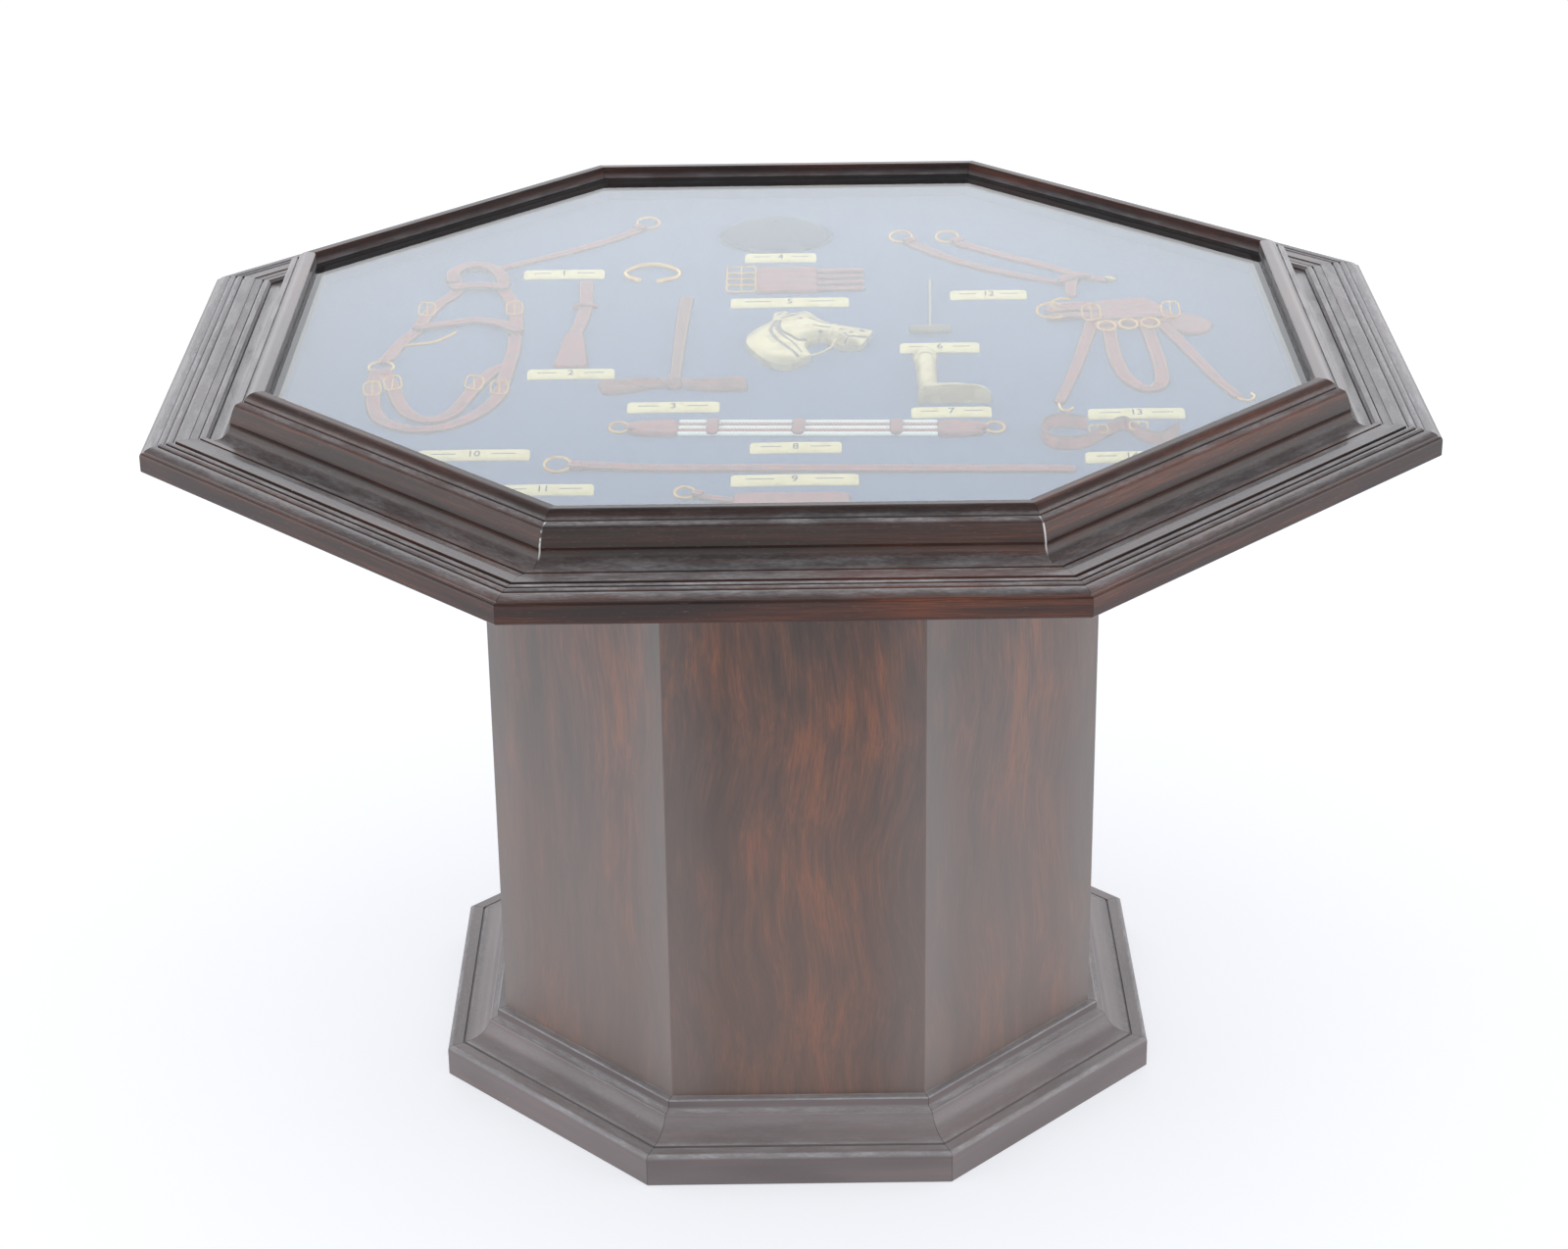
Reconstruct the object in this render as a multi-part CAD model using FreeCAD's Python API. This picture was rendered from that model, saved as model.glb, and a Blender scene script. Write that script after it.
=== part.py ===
"""Octagonal side table: a glazed display top on a hollow eight-sided column with a moulded plinth.

Millimetres, +Z up. The origin is on the floor under the middle of the column, and the front is at -Y.
"""
import FreeCAD, Part
import math
import os

Vector = FreeCAD.Vector

# The sides of every octagon, counted round from the front
side_names = ("front", "front_right", "right", "back_right", "back", "back_left", "left", "front_left")

# Overall sizes, measured across the flats of each octagon
top_across = 800.0
table_height = 516.0
column_across = 400.0

# Raised glazing frame
frame_width = 34.5
frame_height = 29.0

# Reeded ledge moulding round the frame, grooved for the core board's tongue
ledge_width = 40.5
ledge_height = 17.0
tongue_reach = 6.0
tongue_thickness = 4.0
tongue_clearance = 0.2

# Boards, cloth and glass of the display case
core_thickness = 12.0
board_thickness = 2.5
board_clearance = 0.5
cloth_thickness = 0.8
glass_recess = 8.0
glass_thickness = 4.0
glass_clearance = 0.6
spacer_width = 6.0

# Column and plinth
panel_thickness = 16.0
panel_foot_gap = 2.0
plinth_width = 40.0
plinth_height = 43.5
plate_thickness = 18.0
foot_plate_rise = 18.0
glue_block_leg = 26.0

# Overrun of every cutting body past what it cuts
overrun = 40.0

# Tack on the cloth. The glass lifts its image, so it lies further forward than it looks, by this share
# of the case's reach.
tack_forward_share = 0.024
leather_thickness = 1.8
pad_thickness = 3.2
strap_width = 8.0
narrow_strap_width = 5.5
wire_thickness = 1.8
wire_clearance = 0.2
hitch_length = 7.0
ring_reach = 8.0
small_ring_reach = 6.0
buckle_length = 9.0
buckle_width = 12.0
cord_width = 2.6
cord_height = 2.4
cord_pitch = 5.0
cord_count = 5
cord_clearance = 0.5

# Brass reliefs, helmet and mallet. What stands tall is a share of the depth under the glass.
horse_height_share = 0.66
boot_foot_share = 0.93
boot_cuff_share = 0.57
helmet_dome_share = 0.91
helmet_button_share = 0.97
horse_crown = 4.0
horse_layer = 1.4
horse_groove_width = 1.7
horse_groove_depth = 1.0
rein_width = 1.6
rein_height = 3.0
boot_cuff_lip = 1.0
boot_cuff_length = 9.0
boot_sole_thickness = 3.5
boot_welt = 1.2
spur_width = 3.2
spur_button_radius = 2.6
helmet_half_width = 37.5
helmet_half_depth = 34.0
helmet_brim = 4.0
helmet_brim_thickness = 1.6
helmet_button_radius = 2.2
mallet_head_radius = 3.0
mallet_head_length = 28.0
mallet_rod_width = 2.2

# Name plates
label_depth = 10.0
label_thickness = 2.0
label_corner = 2.0
label_crown = 0.8

# Places worked out from the sizes above
side_count = len(side_names)
turn = 360 / side_count
half_turn = math.radians(turn / 2)
top_reach = top_across / 2
frame_reach = top_reach - ledge_width
case_reach = frame_reach - frame_width
column_reach = column_across / 2
inner_column_reach = column_reach - panel_thickness
frame_base = table_height - frame_height
top_underside = frame_base - core_thickness
cloth_top = frame_base + board_thickness + cloth_thickness
glass_top = table_height - glass_recess
glass_bottom = glass_top - glass_thickness
case_depth = glass_bottom - cloth_top
horse_height = horse_height_share * case_depth
boot_foot_height = boot_foot_share * case_depth
boot_cuff_radius = boot_cuff_share * case_depth
boot_shaft_radius = boot_cuff_radius - boot_cuff_lip
helmet_dome_height = helmet_dome_share * case_depth
helmet_button_height = helmet_button_share * case_depth

# Moulding profiles as shares of each moulding's width and height, from the inner foot round to the
# outer foot. Two numbers are a corner, four numbers are the middle and the end of an arc.
frame_profile_shares = (
    (0.0, 0.0), (0.0, 0.972), (0.026, 1.0), (0.139, 1.0), (0.27, 0.955, 0.348, 0.855),
    (0.357, 0.81), (0.383, 0.81), (0.386, 0.834), (0.493, 0.79), (0.522, 0.757),
    (0.586, 0.569, 0.62, 0.397), (0.701, 0.148, 0.899, 0.052), (0.986, 0.052), (1.0, 0.038), (1.0, 0.0),
)
ledge_profile_shares = (
    (0.0, 0.0), (0.0, 0.865), (0.037, 0.965), (0.116, 0.965), (0.123, 0.894), (0.143, 0.894),
    (0.151, 0.953), (0.277, 0.965), (0.284, 1.0), (0.469, 1.0),
    (0.477, 0.906), (0.506, 0.906), (0.514, 0.959), (0.563, 0.994, 0.607, 0.965),
    (0.612, 0.912), (0.632, 0.912), (0.637, 0.953), (0.681, 0.976, 0.723, 0.935),
    (0.728, 0.882), (0.746, 0.882), (0.751, 0.906), (0.854, 0.882, 0.928, 0.782),
    (0.933, 0.747), (0.948, 0.741), (0.985, 0.706, 1.0, 0.624), (1.0, 0.053), (0.978, 0.0),
)
plinth_profile_shares = (
    (0.0, 0.0), (0.0, 1.0), (0.128, 1.0), (0.15, 0.982), (0.15, 0.874), (0.158, 0.848), (0.268, 0.824),
    (0.285, 0.805), (0.44, 0.603, 0.695, 0.526), (0.705, 0.526), (0.71, 0.49), (0.74, 0.49),
    (0.748, 0.513), (0.915, 0.508), (0.978, 0.485, 1.0, 0.432), (1.0, 0.018), (0.985, 0.0),
)


def flat_face(corners):
    """Face inside a ring of corners."""
    return Part.Face(Part.makePolygon(corners + corners[:1]))


def octagon(reach, bottom, height):
    """Upright octagonal prism whose flats stand at the given reach from the axis."""
    corner = reach / math.cos(half_turn)
    angles = [math.radians(turn * index) + half_turn for index in range(side_count)]
    points = [Vector(corner * math.cos(a), corner * math.sin(a), bottom) for a in angles]
    return flat_face(points).extrude(Vector(0, 0, height))


def facet_solid(rings):
    """Solid between rings of equally many corners, with two three-cornered faces on each side."""
    faces = [flat_face(rings[0]), flat_face(rings[-1])]
    for low, high in zip(rings, rings[1:]):
        for index, corner in enumerate(low):
            after = (index + 1) % len(low)
            faces.append(flat_face([corner, low[after], high[index]]))
            faces.append(flat_face([low[after], high[after], high[index]]))
    return Part.Solid(Part.Shell(faces))


def outline_face(outline_shares, place):
    """Face inside a closed outline. The outline's first entry is its start. Every later entry is a
    corner of two numbers, or the middle and the end of an arc, and place turns two numbers to a point."""
    edges = []
    start = last = place(*outline_shares[0])
    for step in outline_shares[1:]:
        end = place(*step[-2:])
        if len(step) == 4:
            edges.append(Part.Arc(last, place(*step[:2]), end).toShape())
        else:
            edges.append(Part.makeLine(last, end))
        last = end
    if last.distanceToPoint(start) > 0:
        edges.append(Part.makeLine(last, start))
    return Part.Face(Part.Wire(edges))


def profile_face(profile_shares, inner, base, width, height):
    """Face of a moulding's cross-section, standing in the XZ plane."""
    def place(across, up):
        return Vector(inner + across * width, 0, base + up * height)

    return outline_face(profile_shares, place)


def mitre_wedge(reach, bottom, height):
    """One eighth of the octagon seen from above, between two mitre planes, along +X."""
    far = reach + overrun
    half_side = far * math.tan(half_turn)
    corners = [Vector(0, 0, bottom), Vector(far, -half_side, bottom), Vector(far, half_side, bottom)]
    face = flat_face(corners)
    return face.extrude(Vector(0, 0, height))


def mitred(face, reach, bottom, height):
    """Length of moulding with both ends cut to the mitre."""
    run = 2 * (reach + overrun) * math.tan(half_turn)
    bar = face.extrude(Vector(0, run, 0))
    bar.translate(Vector(0, -run / 2, 0))
    return bar.common(mitre_wedge(reach, bottom, height))


def turned(shape, index):
    """Copy of a piece modelled along +X, turned to the side of that number. Side 0 is the front."""
    copy = shape.copy()
    copy.rotate(Vector(0, 0, 0), Vector(0, 0, 1), turn * index - 90)
    return copy


# Top: frame, ledge, boards and glass
def frame_rail():
    face = profile_face(frame_profile_shares, case_reach, frame_base, frame_width, frame_height)
    return mitred(face, frame_reach, frame_base, frame_height)


def ledge_rail():
    face = profile_face(ledge_profile_shares, frame_reach, top_underside, ledge_width, ledge_height)
    rail = mitred(face, top_reach, top_underside, ledge_height)
    middle = top_underside + core_thickness / 2
    room = tongue_thickness + 2 * tongue_clearance
    groove = octagon(frame_reach + tongue_reach + tongue_clearance, middle - room / 2, room)
    return rail.cut(groove)


def core_board():
    board = octagon(frame_reach, top_underside, core_thickness)
    middle = top_underside + core_thickness / 2
    tongue = octagon(frame_reach + tongue_reach, middle - tongue_thickness / 2, tongue_thickness)
    return board.fuse(tongue).removeSplitter()


def spacer_fillets():
    """Strips on the rim of the cloth that carry the edge of the glass."""
    outer = case_reach - board_clearance
    height = glass_bottom - cloth_top
    ring = octagon(outer, cloth_top, height).cut(octagon(outer - spacer_width, cloth_top, height))
    strip = ring.common(mitre_wedge(outer, cloth_top, height))
    return Part.makeCompound([turned(strip, index) for index in range(side_count)])


# Column and plinth
def column_panel():
    height = top_underside - panel_foot_gap
    ring = octagon(column_reach, panel_foot_gap, height)
    ring = ring.cut(octagon(inner_column_reach, panel_foot_gap, height))
    return ring.common(mitre_wedge(column_reach, panel_foot_gap, height))


def glue_blocks():
    """Three-sided posts in the inner corners of the column, between the two plates."""
    bottom = foot_plate_rise + plate_thickness
    height = top_underside - plate_thickness - bottom
    half_side = inner_column_reach * math.tan(half_turn)
    corner = Vector(inner_column_reach, half_side, bottom)
    along = Vector(0, -glue_block_leg, 0)
    slope = math.radians(turn) + math.pi / 2
    across = Vector(math.cos(slope) * glue_block_leg, math.sin(slope) * glue_block_leg, 0)
    points = [corner, corner + across, corner + along]
    post = flat_face(points).extrude(Vector(0, 0, height))
    return Part.makeCompound([turned(post, index) for index in range(side_count)])


def plinth_rail():
    face = profile_face(plinth_profile_shares, column_reach, 0, plinth_width, plinth_height)
    return mitred(face, column_reach + plinth_width, 0, plinth_height)


# Tack: places on the cloth are shares of the case's reach from its middle
spline_steps = 3
ring_sides = 12


def spot(share, height=0):
    """Place on the cloth, at a height over it."""
    return Vector(share[0] * case_reach, share[1] * case_reach, cloth_top + height)


def flat_spot(x_share, y_share):
    """Place on the cloth from its two shares."""
    return spot((x_share, y_share))


def smooth(places):
    """Evenly sampled points of the smooth curve through the places."""
    if len(places) == 2:
        return places
    curve = Part.BSplineCurve()
    curve.interpolate(places)
    steps = spline_steps * (len(places) - 1)
    first, last = curve.FirstParameter, curve.LastParameter
    return [curve.value(first + (last - first) * index / steps) for index in range(steps + 1)]


def ribbon_on(places, width, end_width, thickness):
    """Flat strap through the places, its width changing evenly from end to end."""
    line = smooth(places)
    left, right = [], []
    for index, point in enumerate(line):
        ahead = line[min(index + 1, len(line) - 1)]
        behind = line[max(index - 1, 0)]
        along = (ahead - behind).normalize()
        half = (width + (end_width - width) * index / (len(line) - 1)) / 2
        side = Vector(-along.y * half, along.x * half, 0)
        left.append(point + side)
        right.append(point - side)
    outline = left + right[::-1]
    return flat_face(outline).extrude(Vector(0, 0, thickness))


def ribbon(route_shares, width, end_width, thickness, height=0):
    """Flat strap along a route on the cloth."""
    return ribbon_on([spot(share, height) for share in route_shares], width, end_width, thickness)


def joined(shapes):
    """One solid from pieces that run into each other."""
    return shapes[0].multiFuse(shapes[1:]).removeSplitter()


def ring_wire(middle, reach):
    """Closed line with the ring's number of sides round a place."""
    corners = [math.radians(360 * index / ring_sides) for index in range(ring_sides)]
    points = [middle + Vector(reach * math.cos(a), reach * math.sin(a), 0) for a in corners]
    return Part.makePolygon(points + points[:1])


def ring_at(share, reach, height=0, clearance=0):
    """Wire ring lying flat with its middle at that place, or the room that it needs."""
    middle = spot(share, height) - Vector(0, 0, clearance)
    half = wire_thickness / 2 + clearance
    band = Part.Face(ring_wire(middle, reach + half)).cut(Part.Face(ring_wire(middle, reach - half)))
    return band.extrude(Vector(0, 0, 2 * half))


def heading(start, end):
    """Unit direction on the cloth from one place to another."""
    return (spot(end) - spot(start)).normalize()


def block(middle, along, length, width, thickness):
    """Flat oblong on the cloth, turned to a direction."""
    side = Vector(-along.y, along.x, 0) * (width / 2)
    half = along * (length / 2)
    points = [middle - half - side, middle + half - side, middle + half + side, middle - half + side]
    return flat_face(points).extrude(Vector(0, 0, thickness))


def tied_strap(ring_share, route_shares, reach, width, end_width):
    """Strap whose first end is folded over a ring's wire, with room for the wire."""
    along = heading(ring_share, route_shares[0])
    rim = spot(ring_share) + along * reach
    places = [rim + along * (hitch_length / 3)] + [spot(share) for share in route_shares]
    strap = ribbon_on(places, width, end_width, leather_thickness)
    fold = block(rim, along, hitch_length, width, wire_thickness + leather_thickness)
    return strap.fuse(fold).cut(ring_at(ring_share, reach, 0, wire_clearance)).removeSplitter()


def buckle(share, toward_share, length, width, height):
    """Oblong buckle frame with its tongue, lying on a strap."""
    along = heading(share, toward_share)
    middle = spot(share, height)
    inner_length = length - 2 * wire_thickness
    inner_width = width - 2 * wire_thickness
    frame = block(middle, along, length, width, wire_thickness)
    frame = frame.cut(block(middle, along, inner_length, inner_width, wire_thickness))
    tongue = block(middle, along, inner_length, wire_thickness, wire_thickness)
    return frame.fuse(tongue).removeSplitter()


# Bridle at the left: two cheek straps, browband, crown and a double noseband
bridle_ring_share = (-0.812, -0.092)
bridle_tied_shares = (
    ((-0.803, -0.035), (-0.785, 0.055), (-0.757, 0.13)),
    ((-0.818, -0.15), (-0.815, -0.222), (-0.8, -0.33), (-0.772, -0.394), (-0.714, -0.431),
     (-0.652, -0.415), (-0.6, -0.35), (-0.57, -0.27), (-0.563, -0.2)),
    ((-0.796, -0.145), (-0.778, -0.2), (-0.754, -0.298), (-0.723, -0.363), (-0.683, -0.382),
     (-0.652, -0.35), (-0.634, -0.289), (-0.615, -0.203), (-0.588, -0.12), (-0.558, -0.08)),
)
bridle_route_shares = (
    ((-0.711, 0.46), (-0.7, 0.365), (-0.732, 0.283), (-0.751, 0.203), (-0.757, 0.13)),
    ((-0.615, 0.43), (-0.597, 0.363), (-0.572, 0.27), (-0.56, 0.172), (-0.557, 0.09)),
    ((-0.7, 0.38), (-0.658, 0.387), (-0.603, 0.38)),
    ((-0.757, 0.13), (-0.689, 0.166), (-0.64, 0.185), (-0.591, 0.154), (-0.558, 0.12)),
    ((-0.557, 0.09), (-0.555, 0.0), (-0.559, -0.1), (-0.563, -0.2)),
)
bridle_buckle_shares = (
    ((-0.814, -0.235), (-0.8, -0.33)), ((-0.777, -0.205), (-0.754, -0.298)),
    ((-0.617, -0.209), (-0.594, -0.111)), ((-0.566, -0.235), (-0.563, -0.15)),
    ((-0.748, 0.228), (-0.757, 0.13)), ((-0.567, 0.228), (-0.56, 0.172)),
)


def bridle_straps():
    straps = [ribbon(route, strap_width, strap_width, leather_thickness) for route in bridle_route_shares]
    for route in bridle_tied_shares:
        straps.append(tied_strap(bridle_ring_share, route, ring_reach, strap_width, strap_width))
    return joined(straps).cut(ring_at(bridle_ring_share, ring_reach, 0, wire_clearance))


# Lead rein from the back of the bridle
lead_ring_share = (-0.308, 0.806)
lead_route_shares = ((-0.328, 0.772), (-0.394, 0.695), (-0.483, 0.615), (-0.62, 0.512))


def lead_rein():
    return tied_strap(lead_ring_share, lead_route_shares, ring_reach, strap_width, narrow_strap_width)


# Short whip with a plaited band and a broad flap
whip_handle_shares = ((-0.428, 0.425), (-0.422, 0.277), (-0.427, 0.169), (-0.437, 0.1))
whip_flap_shares = ((-0.437, 0.1), (-0.436, -0.1))
whip_band_share = (-0.422, 0.262)
whip_flap_width = 24.0
whip_neck_width = 13.0
whip_band_width = 17.0
whip_band_length = 6.0


def whip():
    handle = ribbon(whip_handle_shares, strap_width, strap_width, leather_thickness)
    flap = ribbon(whip_flap_shares, whip_neck_width, whip_flap_width, leather_thickness)
    along = heading(whip_flap_shares[0], whip_flap_shares[1])
    band = block(spot(whip_band_share), along, whip_band_length, whip_band_width, pad_thickness)
    return joined([handle, flap, band])


# Bow strap: two broad lobes tied in the middle, with a tail
bow_tail_shares = ((-0.212, 0.314), (-0.218, 0.154), (-0.226, -0.185))
bow_left_shares = ((-0.226, -0.19), (-0.3, -0.205), (-0.372, -0.222))
bow_right_shares = ((-0.226, -0.2), (-0.16, -0.215), (-0.083, -0.205))
bow_knot_width = 12.0
bow_lobe_width = 26.0
bow_root_width = 9.0


def bow_strap():
    tail = ribbon(bow_tail_shares, strap_width, narrow_strap_width, leather_thickness)
    left = ribbon(bow_left_shares, bow_root_width, bow_lobe_width, pad_thickness)
    right = ribbon(bow_right_shares, bow_root_width, bow_lobe_width, pad_thickness)
    along = heading(bow_left_shares[0], bow_right_shares[0])
    knot_height = pad_thickness + wire_thickness
    knot = block(spot(bow_left_shares[0]), along, bow_knot_width, bow_root_width, knot_height)
    return joined([tail, left, right, knot])


# Knee guards: one broad pad that ends in four straps
knee_middle_share = (-0.002, 0.415)
knee_length = 43.0
knee_width = 51.0
knee_strap_width = 7.0
knee_strap_reach = 32.0
knee_strap_count = 4
knee_buckle_length = 20.0
knee_buckle_width = 9.0


def knee_rows():
    """Heights along Y of the four straps, evenly spaced over the pad."""
    middle = spot(knee_middle_share)
    pitch = knee_width / knee_strap_count
    first = middle.y - knee_width / 2 + pitch / 2
    return [first + pitch * index for index in range(knee_strap_count)]


def knee_guards():
    middle = spot(knee_middle_share)
    along = Vector(1, 0, 0)
    pieces = [block(middle, along, knee_length, knee_width, pad_thickness)]
    for row in knee_rows():
        root = Vector(middle.x + (knee_length + knee_strap_reach) / 2, row, cloth_top)
        pieces.append(block(root, along, knee_strap_reach, knee_strap_width, leather_thickness))
    return joined(pieces)


# Girth: two leather ends, five cords between them and keepers across
girth_left_shares = ((-0.302, -0.44), (-0.212, -0.442))
girth_right_shares = ((0.363, -0.462), (0.277, -0.459))
girth_ring_shares = ((-0.325, -0.44), (0.386, -0.463))
girth_keeper_shares = ((-0.148, -0.444), (0.015, -0.449), (0.2, -0.456))
girth_end_width = 24.0
girth_tip_width = 15.0
girth_keeper_length = 8.0


def girth_ends():
    ends = []
    for route, ring_share in zip((girth_left_shares, girth_right_shares), girth_ring_shares):
        end = ribbon(route, girth_tip_width, girth_end_width, pad_thickness)
        tab = tied_strap(ring_share, route[:1], small_ring_reach, girth_tip_width, girth_tip_width)
        ends.append(end.fuse(tab).removeSplitter())
    return Part.makeCompound(ends)


def girth_cords():
    """Cords from end to end, each one straight, under the keepers that hold them level."""
    start, end = spot(girth_left_shares[1]), spot(girth_right_shares[1])
    along = (end - start).normalize()
    length = (end - start).Length - 2 * cord_clearance
    side = Vector(-along.y, along.x, 0)
    spread = cord_pitch * (cord_count - 1) / 2
    pieces = []
    for index in range(cord_count):
        middle = (start + end) / 2 + side * (cord_pitch * index - spread)
        pieces.append(block(middle, along, length, cord_width, cord_height))
    for share in girth_keeper_shares:
        keeper_width = 2 * spread + cord_width
        pieces.append(block(spot(share), along, girth_keeper_length, keeper_width, cord_height))
    return joined(pieces)


# Surcingle and the fob strap in front of it
surcingle_ring_share = (-0.432, -0.628)
surcingle_route_shares = ((-0.25, -0.641), (-0.015, -0.649), (0.21, -0.658), (0.474, -0.668))
surcingle_tip_shares = ((0.474, -0.668), (0.523, -0.674))
surcingle_tip_width = 2.5
fob_ring_share = (-0.194, -0.769)
fob_route_shares = ((-0.17, -0.778), (-0.13, -0.795), (-0.09, -0.806))
fob_flap_shares = ((-0.108, -0.808), (-0.07, -0.81), (0.0, -0.811), (0.07, -0.812), (0.105, -0.812))
fob_flap_width = 22.0


def surcingle_straps():
    strap = tied_strap(surcingle_ring_share, surcingle_route_shares, ring_reach, strap_width, strap_width)
    tip = ribbon(surcingle_tip_shares, strap_width, surcingle_tip_width, leather_thickness)
    fob = tied_strap(fob_ring_share, fob_route_shares, small_ring_reach, narrow_strap_width,
                     narrow_strap_width)
    flap = ribbon(fob_flap_shares, fob_flap_width, fob_flap_width, pad_thickness)
    return Part.makeCompound([joined([strap, tip]), joined([fob, flap])])


# Breastplate at the back right: two long straps that meet over a short one
breast_ring_shares = ((0.249, 0.689), (0.35, 0.683))
breast_tied_shares = (
    ((0.272, 0.65), (0.363, 0.529), (0.474, 0.437), (0.59, 0.37)),
    ((0.376, 0.648), (0.452, 0.572), (0.563, 0.477), (0.631, 0.41), (0.68, 0.388)),
)
breast_cross_shares = (((0.6, 0.385), (0.594, 0.345), (0.591, 0.285)), ((0.575, 0.372), (0.64, 0.408)))


def breastplate_straps():
    straps = [ribbon(route, strap_width, narrow_strap_width, leather_thickness)
              for route in breast_cross_shares]
    for ring_share, route in zip(breast_ring_shares, breast_tied_shares):
        straps.append(tied_strap(ring_share, route, ring_reach, strap_width, narrow_strap_width))
    return joined(straps)


# Martingale bundle at the right: a pad, a flap, two hooked straps and a loop
martingale_pad_shares = ((0.632, 0.16), (0.765, 0.18))
martingale_roll_shares = ((0.527, 0.2), (0.64, 0.195))
martingale_flap_shares = ((0.755, 0.125), (0.8, 0.12), (0.842, 0.09))
martingale_left_shares = ((0.625, 0.18), (0.566, -0.135), (0.517, -0.335))
martingale_right_shares = ((0.757, 0.15), (0.782, 0.03), (0.809, -0.092), (0.837, -0.215), (0.866, -0.315))
martingale_loop_shares = (
    (0.655, 0.15), (0.649, 0.02), (0.65, -0.11), (0.664, -0.21), (0.695, -0.262), (0.725, -0.23),
    (0.733, -0.13), (0.731, 0.01), (0.728, 0.15),
)
martingale_ring_shares = ((0.645, 0.075), (0.69, 0.085), (0.735, 0.09))
martingale_pad_width = 50.0
martingale_roll_width = 30.0
martingale_flap_width = 28.0
martingale_hook_shares = (
    ((0.517, -0.34), (0.519, -0.365), (0.53, -0.372), (0.54, -0.355)),
    ((0.868, -0.32), (0.885, -0.33), (0.897, -0.31), (0.893, -0.292)),
)


def martingale_straps():
    pieces = [
        ribbon(martingale_pad_shares, martingale_pad_width, martingale_pad_width, pad_thickness),
        ribbon(martingale_roll_shares, martingale_roll_width, martingale_roll_width, leather_thickness),
        ribbon(martingale_flap_shares, martingale_flap_width, martingale_flap_width, leather_thickness),
        ribbon(martingale_left_shares, strap_width, narrow_strap_width, leather_thickness),
        ribbon(martingale_right_shares, strap_width, narrow_strap_width, leather_thickness),
        ribbon(martingale_loop_shares, strap_width, strap_width, leather_thickness),
    ]
    return joined(pieces)


# Folded strap at the front right, standing in waves
coil_route_shares = (
    (0.56, -0.465), (0.5, -0.452), (0.474, -0.5), (0.49, -0.56), (0.545, -0.562), (0.59, -0.51),
    (0.63, -0.47), (0.655, -0.52), (0.69, -0.55), (0.73, -0.5),
)
coil_height = 6.5


def coiled_strap():
    return ribbon(coil_route_shares, leather_thickness, leather_thickness, coil_height)


# Rings, buckles, hooks and the bit
crown_plate_shares = ((-0.69, 0.508), (-0.635, 0.501))
bit_shares = ((-0.772, 0.043), (-0.72, 0.058), (-0.68, 0.115))
breast_tip_shares = ((0.672, 0.391), (0.69, 0.386))
crown_plate_width = 6.0


def tack_hardware():
    pieces = [
        ring_at(bridle_ring_share, ring_reach),
        ring_at(lead_ring_share, ring_reach),
        ring_at(surcingle_ring_share, ring_reach),
        ring_at(fob_ring_share, small_ring_reach),
    ]
    pieces += [ring_at(share, ring_reach) for share in breast_ring_shares]
    pieces += [ring_at(share, small_ring_reach) for share in girth_ring_shares]
    pieces += [ring_at(share, small_ring_reach, pad_thickness) for share in martingale_ring_shares]
    for share, toward in bridle_buckle_shares:
        pieces.append(buckle(share, toward, buckle_length, buckle_width, leather_thickness))
    middle = spot(knee_middle_share)
    knee_left = middle.x - (knee_length + knee_buckle_length) / 2
    for row in knee_rows():
        share = (knee_left / case_reach, row / case_reach)
        toward = (middle.x / case_reach, row / case_reach)
        pieces.append(buckle(share, toward, knee_buckle_length, knee_buckle_width, 0))
    for route in martingale_hook_shares:
        pieces.append(ribbon(route, wire_thickness, wire_thickness, wire_thickness))
    pieces.append(ribbon(bit_shares, wire_thickness, wire_thickness, wire_thickness))
    pieces.append(ribbon(breast_tip_shares, narrow_strap_width, narrow_strap_width, wire_thickness,
                         leather_thickness))
    pieces.append(ribbon(crown_plate_shares, crown_plate_width, crown_plate_width, wire_thickness))
    return Part.makeCompound(pieces)


# Horse head relief: the outline of neck and head, and the raised outline of the head alone
horse_outline_shares = (
    (-0.001, 0.195), (-0.028, 0.16, -0.048, 0.118), (-0.077, 0.06, -0.087, 0.0),
    (-0.07, -0.06, -0.037, -0.11), (-0.018, -0.128, 0.0, -0.135), (0.028, -0.128, 0.048, -0.1),
    (0.036, -0.058, 0.03, -0.014), (0.064, 0.006, 0.1, -0.006), (0.112, -0.024, 0.126, -0.021),
    (0.146, -0.014, 0.155, 0.005), (0.169, 0.034, 0.16, 0.062), (0.104, 0.093, 0.06, 0.146),
    (0.05, 0.172, 0.038, 0.192), (0.027, 0.172, 0.012, 0.166), (0.003, 0.178, -0.001, 0.195),
)
head_outline_shares = (
    (-0.018, 0.135), (-0.011, 0.05, 0.026, 0.0), (0.066, 0.013, 0.105, 0.003),
    (0.13, -0.006, 0.15, 0.008), (0.162, 0.032, 0.155, 0.056), (0.098, 0.09, 0.052, 0.14),
    (0.018, 0.15, -0.018, 0.135),
)
horse_middle_share = (0.04, 0.03)
neck_groove_shares = ((-0.028, 0.105), (-0.024, 0.062), (-0.004, 0.0), (0.014, -0.055), (0.025, -0.115))
mane_groove_shares = ((-0.05, 0.06), (-0.043, 0.0), (-0.02, -0.06), (0.005, -0.118))
rein_shares = ((0.105, -0.018), (0.088, -0.06), (0.065, -0.088), (0.04, -0.108))


def crown_roll(height, rise):
    """Large roller lying along X that gives a relief its crown: its top stands at the height over the
    horse's middle, and falls by the rise at the ears."""
    middle = spot(horse_middle_share)
    reach = spot(horse_outline_shares[0]).y - middle.y
    radius = (reach * reach + rise * rise) / (2 * rise)
    start = Vector(-case_reach, middle.y, cloth_top + height - radius)
    return Part.makeCylinder(radius, 2 * case_reach, start, Vector(1, 0, 0))


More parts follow.
